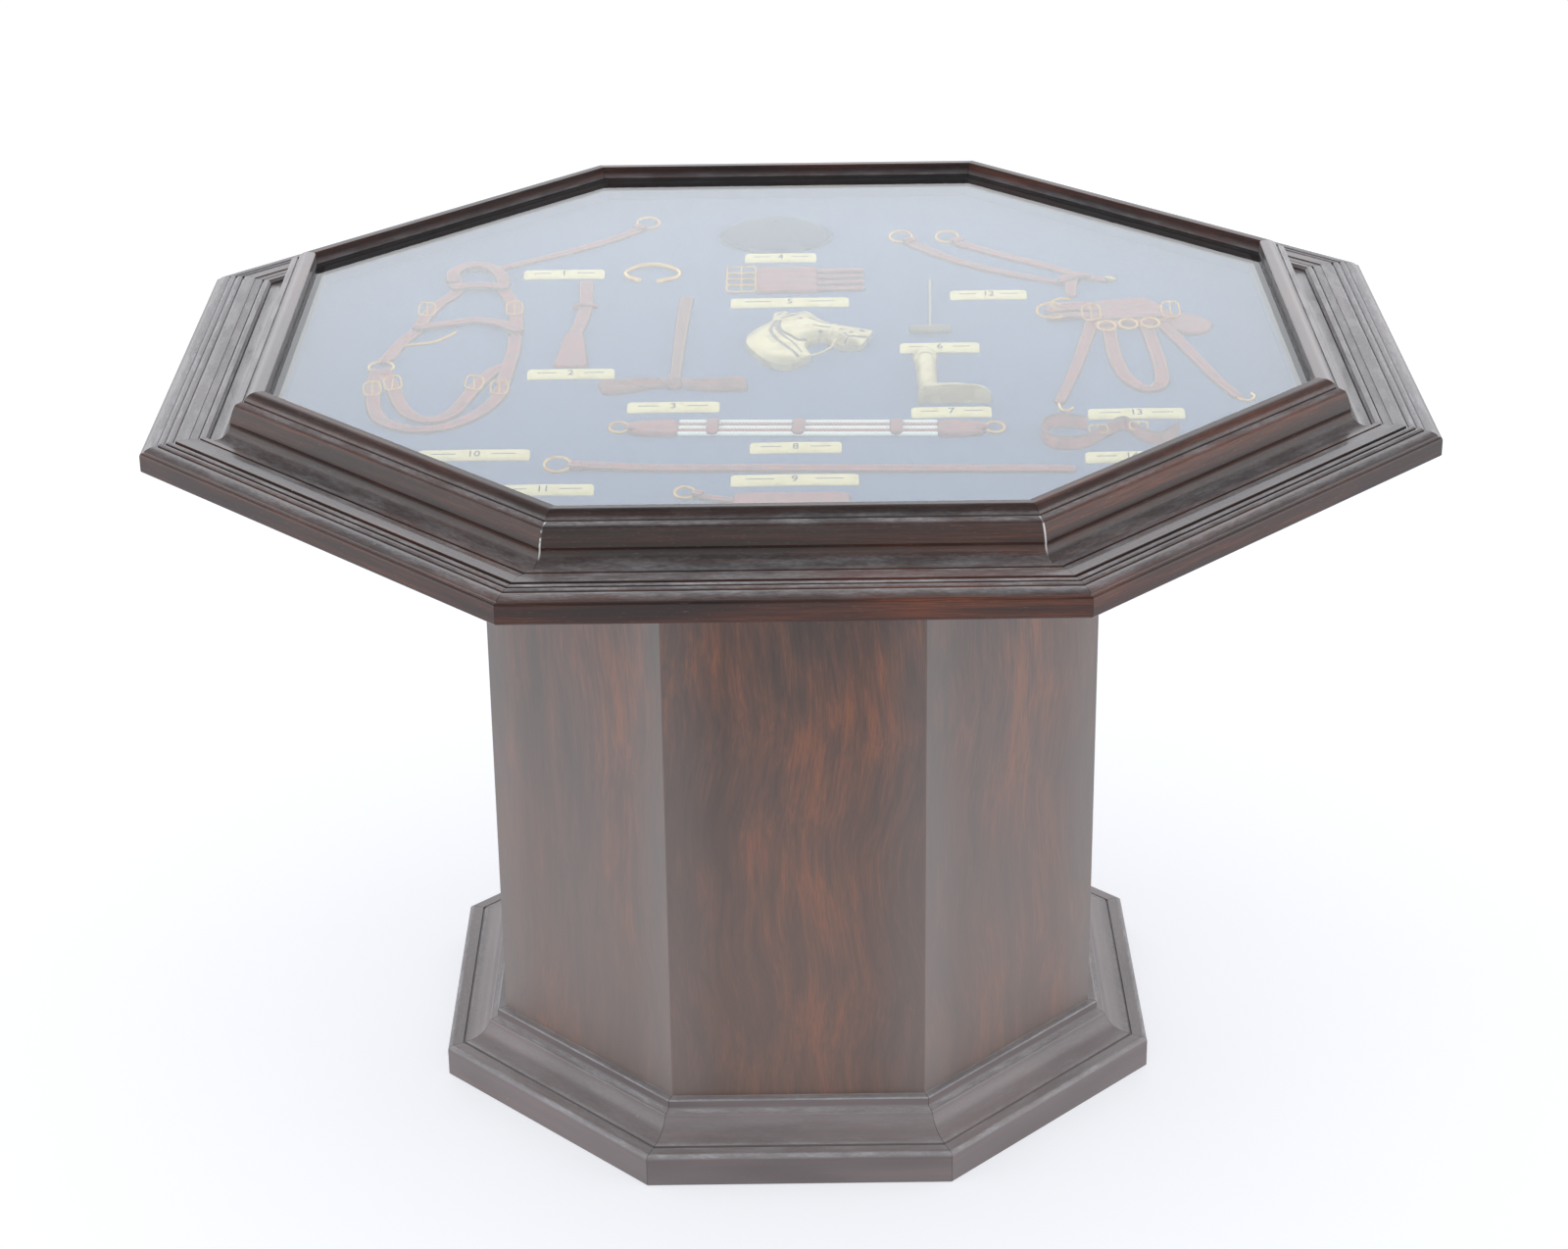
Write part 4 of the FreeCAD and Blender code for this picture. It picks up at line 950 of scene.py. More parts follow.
def strap(route, width=strap_width, end_width=None, thickness=strap_thickness, lifts=None,
          round_ends=(True, True), stitched=True):
    """Flat strap along places on the cloth. Lifts raise its underside at each place, in millimetres."""
    lifts = lifts or [0] * len(route)
    line = smooth_line([spot(share, lift * mm) for share, lift in zip(route, lifts)])
    _, left, up = line_axes(line)
    reach = np.arange(len(line)) * np.linalg.norm(line[1] - line[0])
    half = np.linspace(width, end_width or width, len(line)) / 2
    for from_end, is_round in ((reach, round_ends[0]), (reach[-1] - reach, round_ends[1])):
        if is_round:
            share = np.clip(from_end / (end_roundness * half), 0.02, 1)
            half = half * np.sqrt(1 - (1 - share) ** 2)
    across = strap_section[None, :, 0] * half[:, None]
    rise = np.broadcast_to(strap_section[None, :, 1] * thickness, across.shape)
    rings = line[:, None] + across[..., None] * left[:, None] + rise[..., None] * up[:, None]
    inset = (half[:, None] - np.abs(across)) / mm
    uv = np.stack([inset, np.broadcast_to(reach[:, None], inset.shape)], -1)
    if stitched:
        kept = half > stitch_inset * 2
        for hand in (-1, 1):
            offset = hand * (half - stitch_inset)
            stitch_lines.append((line + offset[:, None] * left + stitch_height * thickness * up)[kept])
    return lofted(rings, uv)


print("strap", strap_width / mm, "by", strap_thickness / mm, "mm")

# %% [markdown]
# A strap that hangs from a ring is folded over its wire and sewn back on itself. So it starts with a
# short rise over the wire, and the folded end lies beneath it as a thinner second layer.

# %% Tied straps
# Distances from the wire along the strap, in metres, and the lift at each in millimetres
over_wire = ((-1.4 * mm, 1.0), (1.2 * mm, 1.9), (5 * mm, 1.5))
under_wire = ((-1.6 * mm, 0.2), (4 * mm, 0.1), (8.5 * mm, 0.0))
fold_width = 0.96


def tied_strap(ring_share, route, ring_reach, width=strap_width, end_width=None, **more):
    """Strap that starts over the wire of a ring, with the fold beneath it."""
    ring, first = spot(ring_share), spot(route[0])
    along = (first - ring) / np.linalg.norm(first - ring)
    rim = (ring + along * ring_reach)[:2] / case_reach
    step = along[:2] / case_reach
    places = [rim + step * distance for distance, _ in over_wire] + list(route)
    lifts = [lift for _, lift in over_wire] + [0.0] * len(route)
    fold = strap([rim + step * distance for distance, _ in under_wire], width * fold_width,
                 lifts=[lift for _, lift in under_wire], thickness=1.0 * mm, stitched=False)
    return [strap(places, width, end_width, lifts=lifts, **more), fold]


print("fold", (under_wire[-1][0] - under_wire[0][0]) / mm, "mm long")

# %% [markdown]
# Parts are gathered into one mesh for each CAD node. Refraction lifts the image of what lies under glass,
# so the tack lies a little further forward than it seems to, and the gathering sets it there.

# %% Gathering
set_forward = np.array([0, -0.024 * case_reach, 0])


def gather(name, parts, materials, numbers=None, **more):
    """One piece from many parts, set forward. Numbers give each part's material."""
    points, faces, uv, used = [], [], [], []
    start = 0
    for part, number in zip(parts, numbers or [0] * len(parts)):
        points.append(part[0])
        faces += [tuple(start + i for i in face) for face in part[1]]
        used += [number] * len(part[1])
        uv.append(part[2])
        start += len(part[0])
    mesh = bpy.data.meshes.new(name)
    mesh.from_pydata((np.vstack(points) + set_forward).tolist(), [], faces)
    corners = np.empty(len(mesh.loops), int)
    mesh.loops.foreach_get("vertex_index", corners)
    mesh.uv_layers.new(name="UVMap").data.foreach_set("uv", np.vstack(uv)[corners].ravel())
    mesh.polygons.foreach_set("material_index", used)
    work = bmesh.new()
    work.from_mesh(mesh)
    bmesh.ops.recalc_face_normals(work, faces=work.faces)
    work.to_mesh(mesh)
    work.free()
    return finish_piece(name, mesh, materials, **more)


print("set forward by", round(-set_forward[1] / mm, 2), "mm")

# %% [markdown]
# The top of a pad or relief rises by a rule. Some rules are made of soft rises and of ridges along a line,
# and a groove is a ridge that goes down. Where the rise should be as round as pressed metal, the heights
# are averaged with their neighbours' some rounds long.

# %% Rises and ridges
def bump_at(points, centre, size, height):
    """Soft round rise at a place."""
    offset = (points - np.array(centre) * case_reach) / np.array(size)
    return height * np.exp(-(offset ** 2).sum(1))


def ridge_along(points, route, width, height):
    """Soft ridge, or groove, along a line on the cloth."""
    line = smooth_line([np.array(share) * case_reach for share in route])
    return height * np.exp(-(distance_to(points, line[:-1], line[1:]) / width) ** 2)


def softened(height, triangles, rim, rounds):
    """Heights averaged with their neighbours' some rounds long, while the rim keeps its own."""
    corners = np.array(triangles)
    ends = np.vstack([corners[:, [0, 1]], corners[:, [1, 2]], corners[:, [2, 0]]])
    count = np.bincount(ends.ravel(), minlength=len(height))
    for _ in range(rounds):
        total = np.bincount(ends[:, 0], height[ends[:, 1]], len(height))
        total += np.bincount(ends[:, 1], height[ends[:, 0]], len(height))
        height[rim:] = (total / count)[rim:]
    return height


print("a 1 mm rise at its middle:", bump_at(np.zeros((1, 2)), (0, 0), (1 * mm, 1 * mm), 1 * mm))

# %% [markdown]
# A pad is a filled outline whose top stands on a low foot and rises by its rule. It is closed at the
# sides and below.

# %% Pads
pad_spacing = 1.3 * mm
pad_foot = 0.25 * mm


def pad(outline, height_at, spacing=pad_spacing, foot=pad_foot, rounds=0, detail_at=None):
    """Filled outline on the cloth whose top rises by a rule, and then by its detail's rule."""
    flat, triangles, inset = filled(np.asarray(outline), spacing)
    rim = len(outline)
    height = height_at(flat, inset)
    height[:rim] = foot
    height = softened(height, triangles, rim, rounds)
    if detail_at:
        height += detail_at(flat, inset)
    top = np.column_stack([flat, cloth_top + height])
    under = np.column_stack([flat[:rim], np.full(rim, cloth_top)])
    faces = list(triangles) + [tuple(len(flat) + i for i in range(rim))[::-1]]
    faces += [(i, len(flat) + i, len(flat) + (i + 1) % rim, (i + 1) % rim) for i in range(rim)]
    uv = np.column_stack([np.concatenate([inset / mm, np.zeros(rim)]), np.zeros(len(flat) + rim)])
    return np.vstack([top, under]), faces, uv


print("a pad's rim stands", pad_foot / mm, "mm high")

# %% [markdown]
# Most pads are round-shouldered at the rim and flat further in. The more free outlines are runs of places:
# each run is one smooth curve, and the curves meet in corners.

# %% Shoulders and free outlines
edge_step = 1.0 * mm


def domed(thickness, shoulder):
    """Rule for a pad that is round-shouldered at its rim and flat further in."""
    def height_at(points, inset):
        return thickness * np.sqrt(1 - (1 - np.clip(inset / shoulder, 0.05, 1)) ** 2)
    return height_at


def outline_of(runs, step=edge_step):
    """Closed outline from runs of shares. Each is a smooth curve from where the one before it ends."""
    return np.vstack([smooth_line([np.array(share) * case_reach for share in (before[-1], *run)], step)[:-1]
                      for before, run in zip((runs[-1], *runs), runs)])


print("an outline's points are", edge_step / mm, "mm apart")

# %% [markdown]
# Two outlines come again and again: a flap that widens along a line, and an oblong with round corners.

# %% Flaps and oblongs
corner_points = 6
flap_rounding, flap_squareness = 0.22, 0.6


def flaring(route, width, end_width, bulge=0.0):
    """Outline of a flap along a line on the cloth, with round corners at its far end."""
    line = smooth_line([spot(share) for share in route], edge_step)
    _, left, _ = line_axes(line)
    share = np.linspace(0, 1, len(line))
    half = (width + (end_width - width) * share) / 2 + bulge * np.sin(math.pi * share)
    from_end = (1 - share) * np.linalg.norm(line[-1] - line[0]) / (flap_rounding * end_width)
    half = half * np.sqrt(1 - flap_squareness * (1 - np.clip(from_end, 0, 1)) ** 2)
    edges = [(line + hand * half[:, None] * left)[:, :2] for hand in (1, -1)]
    return np.vstack([edges[0], edges[1][::-1]])[::-1]


def oblong(centre, length, width, corner, along=(1.0, 0.0)):
    """Outline of an oblong with round corners, turned to a direction."""
    along = np.array(along) / np.linalg.norm(along)
    left = np.array([-along[1], along[0]])
    points = []
    for turn, (sx, sy) in enumerate(((1, -1), (1, 1), (-1, 1), (-1, -1))):
        angles = math.pi / 2 * (turn - 1 + np.linspace(0, 1, corner_points))
        points += [((length / 2 - corner) * sx + corner * math.cos(a),
                    (width / 2 - corner) * sy + corner * math.sin(a)) for a in angles]
    points = np.array(points)
    even = []
    for here, there in zip(points, np.roll(points, -1, axis=0)):
        parts = max(1, round(np.linalg.norm(there - here) / edge_step))
        even += [here + (there - here) * part / parts for part in range(parts)]
    return np.array(centre)[:2] + np.array(even) @ np.array([along, left])


print("rim points of a 40 by 20 mm oblong:", len(oblong(spot((0, 0)), 40 * mm, 20 * mm, 3 * mm)))

# %% [markdown]
# ## Bridle
#
# The bridle lies at the left: a crown piece and cheek straps, a browband across them, and a double
# noseband that hangs from a ring. Where two straps cross, the upper one is lifted by the thickness of the
# lower one.

# %% Bridle
ring_reach = 8 * mm
bridle_ring = (-0.812, -0.092)
bridle_parts = [
    strap(((-0.711, 0.46), (-0.7, 0.365), (-0.732, 0.283), (-0.751, 0.203), (-0.757, 0.13))),
    strap(((-0.615, 0.43), (-0.597, 0.363), (-0.572, 0.27), (-0.56, 0.172), (-0.557, 0.09))),
    strap(((-0.712, 0.372), (-0.658, 0.387), (-0.59, 0.372)), lifts=[2.0, 2.4, 2.0]),
    strap(((-0.711, 0.42), (-0.712, 0.48), (-0.68, 0.52), (-0.64, 0.51), (-0.61, 0.45), (-0.6, 0.38)),
          lifts=[1.0, 2.0, 2.4, 2.4, 2.0, 2.2]),
    strap(((-0.77, 0.128), (-0.757, 0.132), (-0.689, 0.166), (-0.64, 0.18), (-0.591, 0.15),
           (-0.545, 0.1)), lifts=[2.0, 2.0, 0.6, 0.6, 1.9, 2.0]),
    strap(((-0.557, 0.09), (-0.555, 0.0), (-0.559, -0.1), (-0.563, -0.2))),
]
for route in (((-0.803, -0.035), (-0.785, 0.055), (-0.757, 0.13)),
              ((-0.818, -0.15), (-0.815, -0.222), (-0.8, -0.33), (-0.772, -0.394), (-0.714, -0.431),
               (-0.652, -0.415), (-0.6, -0.35), (-0.57, -0.27), (-0.563, -0.2)),
              ((-0.796, -0.145), (-0.778, -0.2), (-0.754, -0.298), (-0.723, -0.363), (-0.683, -0.382),
               (-0.652, -0.35), (-0.634, -0.289), (-0.615, -0.203), (-0.588, -0.12), (-0.558, -0.08))):
    bridle_parts += tied_strap(bridle_ring, route, ring_reach)
gather("bridle", bridle_parts, [chestnut_calf], replaced=["bridle_straps"], slot="leather")

# %% [markdown]
# ## Lead rein
#
# The lead rein is one strap that narrows from its ring to its end.

# %% Lead rein
lead_ring = (-0.308, 0.806)
lead_route = ((-0.328, 0.772), (-0.394, 0.695), (-0.483, 0.615), (-0.62, 0.512))
gather("lead_rein_strap", tied_strap(lead_ring, lead_route, ring_reach, end_width=narrow_width),
       [chestnut_calf], replaced=["lead_rein"], slot="leather")

# %% [markdown]
# ## Whip
#
# The short whip has a strap for a handle, a keeper across it and a broad flat flap that widens to the
# end.

# %% Whip
whip_parts = [
    strap(((-0.428, 0.425), (-0.422, 0.277), (-0.427, 0.169), (-0.437, 0.09))),
    pad(flaring(((-0.437, 0.1), (-0.436, 0.0), (-0.436, -0.1)), 13 * mm, 24 * mm),
        domed(2.0 * mm, 1.6 * mm)),
    strap(((-0.449, 0.262), (-0.422, 0.262), (-0.396, 0.262)), 6 * mm, lifts=[0, 1.9, 0], stitched=False),
]
gather("whip_with_flap", whip_parts, [chestnut_calf], replaced=["whip"], slot="leather")

# %% [markdown]
# ## Bow strap
#
# The bow strap is a long tail and two broad soft lobes, gathered under a knot. Folds fan out from the
# knot, so their rule goes by the angle round it, and they are slight at the knot itself.

# %% Bow strap
bow_middle = (-0.226, -0.195)
fold_depth = 0.55 * mm
fold_rate = 34
full_folds_at = 18 * mm


def soft_lobe(points, inset):
    """Rule for a rounded lobe with folds that run out from the knot."""
    offset = points - np.array(bow_middle) * case_reach
    angle = np.arctan2(offset[:, 1], np.abs(offset[:, 0]))
    folds = fold_depth * np.cos(angle * fold_rate) * np.clip(np.abs(offset[:, 0]) / full_folds_at, 0.2, 1)
    return domed(3.4 * mm, 4 * mm)(points, inset) + folds * np.clip(inset / (2 * mm), 0, 1)


bow_parts = [
    strap(((-0.212, 0.314), (-0.218, 0.154), (-0.226, -0.185)), end_width=narrow_width),
    *(pad(flaring((bow_middle, *lobe), 9 * mm, 25 * mm, 1.5 * mm), soft_lobe)
      for lobe in (((-0.3, -0.205), (-0.372, -0.222)), ((-0.16, -0.21), (-0.083, -0.205)))),
    strap(((-0.226, -0.232), (-0.226, -0.195), (-0.225, -0.158)), 9.5 * mm, thickness=2.2 * mm,
          lifts=[0.2, 3.2, 0.2], stitched=False),
]
gather("bow_strap_tied", bow_parts, [dark_calf], replaced=["bow_strap"], slot="leather")

# %% [markdown]
# ## Knee guards
#
# The knee guards are one broad pad with four channels sewn across it. Each channel goes on as a strap on
# the right, and has a wire buckle on the left. The channels are soft rolls, so their rule is the size of
# a cosine, flattened by a power below one.

# %% Knee guards
knee_middle = (-0.002, 0.415)
knee_length, knee_width, knee_rows = 43 * mm, 51 * mm, 4
knee_strap_reach = 32 * mm
knee_strap_overlap = 3 * mm
knee_buckle = 20 * mm
row_pitch = knee_width / knee_rows
knee_centre = spot(knee_middle)
row_places = [knee_centre[1] - knee_width / 2 + row_pitch * (row + 0.5) for row in range(knee_rows)]


def channelled(points, inset):
    """Rule for the pad: each of its rows is a soft roll between two sewn lines."""
    row = (points[:, 1] - row_places[0]) / row_pitch
    rolls = np.abs(np.cos(math.pi * row)) ** 0.6
    return domed(3.2 * mm, 2 * mm)(points, inset) * (0.72 + 0.28 * rolls)


knee_parts = [pad(oblong(knee_centre, knee_length, knee_width, 3 * mm), channelled)]
strap_start = (knee_centre[0] + knee_length / 2 - knee_strap_overlap) / case_reach
strap_end = (knee_centre[0] + knee_length / 2 + knee_strap_reach) / case_reach
for row_place in row_places:
    row = row_place / case_reach
    knee_parts.append(strap(((strap_start, row), ((strap_start + strap_end) / 2, row), (strap_end, row)),
                            7 * mm))
gather("knee_guard_pad", knee_parts, [chestnut_calf], replaced=["knee_guards"], slot="leather")

# %% [markdown]
# ## Girth
#
# The girth has two leather ends, each tied to a ring, and three leather keepers that hold its cords level.
# An end is a flap that swells towards its middle, with a narrow strap on top of it.

# %% Girth ends
small_ring_reach = 6 * mm
girth_ends = (((-0.302, -0.44), (-0.212, -0.442)), ((0.363, -0.462), (0.277, -0.459)))
girth_rings = ((-0.325, -0.44), (0.386, -0.463))
keepers = ((-0.148, -0.444), (0.015, -0.449), (0.2, -0.456))
keeper_reach = 12.5 * mm
cords_from, cords_to = (inner for _, inner in girth_ends)

girth_parts = []
for (outer, inner), ring_place in zip(girth_ends, girth_rings):
    middle = tuple((np.array(outer) + np.array(inner)) / 2)
    girth_parts.append(pad(flaring((outer, middle, inner), 19 * mm, 25 * mm, 1 * mm),
                           domed(3.0 * mm, 2.2 * mm)))
    girth_parts += tied_strap(ring_place, (outer, middle), small_ring_reach, 12 * mm, stitched=False)
cord_direction = np.array(cords_to) - np.array(cords_from)
cord_side = np.array([-cord_direction[1], cord_direction[0]]) / np.linalg.norm(cord_direction)
for keeper in keepers:
    route = [np.array(keeper) + hand * cord_side * keeper_reach / case_reach for hand in (-1, 0, 1)]
    girth_parts.append(strap(route, 8 * mm, thickness=1.2 * mm, lifts=[1.9, 2.9, 1.9], stitched=False))
gather("girth_leather_ends", girth_parts, [chestnut_calf], replaced=["girth_ends"], slot="leather")

# %% [markdown]
# Between the ends run five twisted cotton cords, white and rose in turn. Each cord is three strands that
# wind round one another, so a strand's line is a helix about the cord's own line.

# %% Girth cords
cord_pitch, cord_count, cord_lay = 5.0 * mm, 5, 6.5 * mm
strand_count, strand_step = 3, 0.7 * mm
strand_radius, strand_reach = 0.78 * mm, 0.72 * mm
cord_height = strand_reach + strand_radius


def twisted_cord(start, end, phase):
    """Strands that wind round the line from start to end."""
    length = np.linalg.norm(end - start)
    share = np.linspace(0, 1, round(length / strand_step))
    along = (end - start) / length
    left = np.array([-along[1], along[0], 0])
    line = start + share[:, None] * (end - start)
    parts = []
    for strand in range(strand_count):
        angle = math.tau * (share * length / cord_lay + strand / strand_count) + phase
        around = np.cos(angle)[:, None] * left + np.sin(angle)[:, None] * np.array([0, 0, 1])
        parts.append(wire(line + strand_reach * around, strand_radius, sides=7, is_smooth=False))
    return parts


cord_parts, cord_numbers = [], []
for index in range(cord_count):
    shift = np.array([*cord_side, 0]) * cord_pitch * (index - (cord_count - 1) / 2)
    cord_parts += twisted_cord(spot(cords_from, cord_height) + shift, spot(cords_to, cord_height) + shift,
                               index)
    cord_numbers += [index % len(cottons)] * strand_count
gather("girth_twisted_cords", cord_parts, cottons, cord_numbers, replaced=["girth_cords"], slot="cord")

# %% [markdown]
# ## Surcingle and fob
#
# The surcingle is one long strap from a ring. In front of it lies a fob: a short strap from a small ring,
# sewn to a thick oblong flap.

# %% Surcingle and fob
surcingle_ring, fob_ring = (-0.432, -0.628), (-0.194, -0.769)
surcingle_parts = [
    *tied_strap(surcingle_ring, ((-0.25, -0.641), (-0.015, -0.649), (0.21, -0.658), (0.474, -0.668),
                                 (0.523, -0.674)), ring_reach),
    *tied_strap(fob_ring, ((-0.17, -0.778), (-0.13, -0.795), (-0.09, -0.806)), small_ring_reach,
                narrow_width),
    pad(oblong(spot((-0.001, -0.8105)), 70 * mm, 22 * mm, 5 * mm, (1.0, -0.02)), domed(3.2 * mm, 2.4 * mm)),
]
gather("surcingle_and_fob", surcingle_parts, [chestnut_calf], replaced=["surcingle_straps"],
       slot="leather")

# %% [markdown]
# ## Breastplate
#
# Two long straps hang from their rings and meet over a short strap, where a keeper holds them.

# %% Breastplate
breast_rings = ((0.249, 0.689), (0.35, 0.683))
breast_routes = (((0.272, 0.65), (0.363, 0.529), (0.474, 0.437), (0.59, 0.37)),
                 ((0.376, 0.648), (0.452, 0.572), (0.563, 0.477), (0.631, 0.41), (0.68, 0.388)))
breast_parts = []
for ring_place, route in zip(breast_rings, breast_routes):
    breast_parts += tied_strap(ring_place, route, ring_reach, end_width=narrow_width)
for route, lifts in ((((0.603, 0.4), (0.594, 0.345), (0.591, 0.285)), [1.9, 1.5, 0]),
                     (((0.57, 0.368), (0.605, 0.39), (0.64, 0.408)), [2.0, 3.6, 2.0])):
    breast_parts.append(strap(route, end_width=narrow_width, lifts=lifts))
gather("breastplate_pair", breast_parts, [chestnut_calf], replaced=["breastplate_straps"], slot="leather")

# %% [markdown]
# ## Martingale
#
# The martingale is a broad pad under a band, with three rolled straps on its left, a flap on its right, a
# loop in front and two straps that end in hooks. All but the loop have their ends cut round.

# %% Martingale
pad_runs = (((0.70, 0.098), (0.778, 0.108)), ((0.785, 0.17), (0.762, 0.235)),
            ((0.742, 0.262), (0.70, 0.258), (0.645, 0.247)), ((0.622, 0.225), (0.612, 0.16), (0.618, 0.09)))
flap_runs = (((0.81, 0.172), (0.845, 0.15)), ((0.866, 0.11), (0.852, 0.06)),
             ((0.82, 0.045), (0.785, 0.07), (0.768, 0.16)))
martingale_parts = [
    pad(outline_of(pad_runs), domed(3.4 * mm, 3 * mm)),
    strap(((0.61, 0.128), (0.70, 0.135), (0.79, 0.145)), 10 * mm, lifts=[2.6, 3.3, 2.6]),
    strap(((0.535, 0.215), (0.58, 0.225), (0.63, 0.215)), 9 * mm, lifts=[0, 1.2, 2.4]),
    strap(((0.527, 0.185), (0.58, 0.192), (0.64, 0.185)), 10 * mm, lifts=[1.6, 2.6, 2.8]),
    strap(((0.53, 0.155), (0.575, 0.158), (0.63, 0.15)), 9 * mm, lifts=[0, 1.4, 2.2]),
    pad(outline_of(flap_runs), domed(2.2 * mm, 2 * mm)),
    strap(((0.625, 0.15), (0.566, -0.135), (0.517, -0.335)), end_width=narrow_width),
    strap(((0.757, 0.13), (0.782, 0.03), (0.809, -0.092), (0.837, -0.215), (0.866, -0.315)),
          end_width=narrow_width),
    strap(((0.655, 0.13), (0.649, 0.02), (0.65, -0.11), (0.664, -0.21), (0.695, -0.262), (0.725, -0.23),
           (0.733, -0.13), (0.731, 0.01), (0.728, 0.13)), round_ends=(False, False)),
]
gather("martingale_bundle", martingale_parts, [chestnut_calf], replaced=["martingale_straps"],
       slot="leather")

# %% [markdown]
# ## Folded strap
#
# The folded strap at the front right stands on its edge in waves and leans back, so it shows its face.
# Its section is upright: it is carried along the line of its foot.

# %% Folded strap
fold_route = ((0.56, -0.465), (0.5, -0.452), (0.474, -0.5), (0.49, -0.56), (0.545, -0.562), (0.59, -0.51),
              (0.63, -0.47), (0.655, -0.52), (0.69, -0.55), (0.73, -0.5))
fold_height, fold_thickness, fold_lean = 7.0 * mm, 1.6 * mm, 5.0 * mm
edge_levels = (0, 0.2, 0.5, 0.8, 0.94)
upright_section = [*((-0.5, level) for level in edge_levels), (-0.3, 1), (0.3, 1),
                   *((0.5, level) for level in edge_levels[::-1])]
line = smooth_line([spot(share) for share in fold_route])
_, left, _ = line_axes(line)
rings = np.stack([line + across * fold_thickness * left + np.array([0, rise * fold_lean, rise * fold_height])
                  for across, rise in upright_section], 1)
inset = np.array([min(rise, 1 - rise) for _, rise in upright_section]) * fold_height / mm
uv = np.stack(np.broadcast_arrays(inset[None, :], np.arange(len(line))[:, None] * line_step), -1)
gather("folded_strap", [lofted(rings, uv)], [chestnut_calf], replaced=["coiled_strap"], slot="leather")

# %% [markdown]
# ## Brass rings and buckles
#
# All the fittings are bent from round brass wire. A ring leans a little, with its far side off the cloth,
# because the strap lies under it. A buckle is an oblong frame that stands off its strap at the back, with
# a tongue along its middle. So one wire helper makes them all, and only their lines differ.

# %% Ring and buckle
wire_radius = 0.9 * mm
fine_wire_radius = 0.65 * mm
ring_points = 40


def ring(share, reach, height=0.0, tilt=11):
    """Closed wire ring that leans by a tilt in degrees."""
    angles = np.linspace(0, math.tau, ring_points, endpoint=False)
    lean = math.radians(tilt)
    around = np.column_stack([np.cos(angles), np.sin(angles) * math.cos(lean),
                              (np.sin(angles) + 1) * math.sin(lean)])
    middle = spot(share, height + wire_radius)
    return wire(middle + reach * around, wire_radius, closed=True, is_smooth=False)


def buckle(share, toward, length, width, height, tilt=34):
    """Frame of a buckle that points toward a place, and its tongue."""
    radius = fine_wire_radius
    along = np.array(toward) - np.array(share)
    flat = oblong(spot(share), length, width, 0.3 * width, along)
    front = flat[:, 1].min()
    lean = math.radians(tilt)
    level = cloth_top + height + radius
    rise = flat[:, 1] - front
    frame_line = np.column_stack([flat[:, 0], front + rise * math.cos(lean), level + rise * math.sin(lean)])
    heights = frame_line[:, 2]
    far = frame_line[heights > heights.max() - 1 * mm].mean(0)
    near = frame_line[heights < heights.min() + 1 * mm].mean(0)
    middle = frame_line.mean(0) + np.array([0, 0, radius])
    return [wire(frame_line, radius, closed=True, is_smooth=False), wire([far, middle, near], radius * 0.8)]


print("wire", 2 * wire_radius / mm, "mm thick, and", 2 * fine_wire_radius / mm, "mm in buckles")

# %% [markdown]
# Each strap that hangs from a ring has named that ring's place. Buckles come in three sizes, and each one
# points along its strap, so two places say how it lies.

# %% Rings and buckles in place
# place, reach, height over the cloth, tilt
rings = [(bridle_ring, ring_reach, 0.0, 6),
         *((share, ring_reach, 0.0, 11) for share in (lead_ring, surcingle_ring, *breast_rings)),
         *((share, small_ring_reach, 0.0, 11) for share in (fob_ring, *girth_rings)),
         *((share, small_ring_reach, 2.4 * mm, 11) for share in ((0.645, 0.075), (0.69, 0.085),
                                                                 (0.735, 0.09)))]
fittings = [ring(*place) for place in rings]

knee_left = (knee_centre[0] - (knee_length + knee_buckle) / 2) / case_reach
# places, the direction or the place each one points to, length, width, height, tilt
bridle_buckles = (((-0.814, -0.235), (-0.8, -0.33)), ((-0.777, -0.205), (-0.754, -0.298)),
                  ((-0.617, -0.209), (-0.594, -0.111)), ((-0.566, -0.235), (-0.563, -0.15)),
                  ((-0.748, 0.228), (-0.757, 0.13)), ((-0.567, 0.228), (-0.56, 0.172)))
pad_buckles = tuple((share, (share[0] + 0.1, share[1] + 0.01)) for share in ((0.618, 0.133), (0.781, 0.143)))
knee_buckles = tuple(((knee_left, place / case_reach), (0, place / case_reach)) for place in row_places)
for places, *size in ((bridle_buckles, 10.5 * mm, 11 * mm, 1.2 * mm),
                      (pad_buckles, 12 * mm, 13 * mm, 3.6 * mm),
                      (knee_buckles, knee_buckle, 8 * mm, 0.4 * mm, 16)):
    for share, toward in places:
        fittings += buckle(share, toward, *size)
print("rings:", len(rings), "buckles:", (len(fittings) - len(rings)) // 2)

# %% [markdown]
# The rest are open wires: two hooks at the ends of the martingale, the bit in the bridle, and two half
# rings round the rolled straps. Small brass plates clasp the tip of the breastplate and the crown.

# %% Hooks, bit and plates
hooks = (((0.517, -0.325), (0.517, -0.345), (0.519, -0.365), (0.53, -0.374), (0.542, -0.358)),
         ((0.862, -0.305), (0.868, -0.32), (0.885, -0.33), (0.897, -0.31), (0.893, -0.292)))
bit = ((-0.778, 0.037), (-0.76, 0.045), (-0.72, 0.058), (-0.695, 0.09), (-0.68, 0.115))
half_rings = (((0.54, 0.16), 10 * mm), ((0.566, 0.2), 8 * mm))
strap_buckles = ((0.578, -0.505), (0.655, -0.49))
breast_tip = ((0.668, 0.393), (0.68, 0.389), (0.694, 0.385))
crown_plate = ((-0.69, 0.508), (-0.662, 0.512), (-0.635, 0.501))

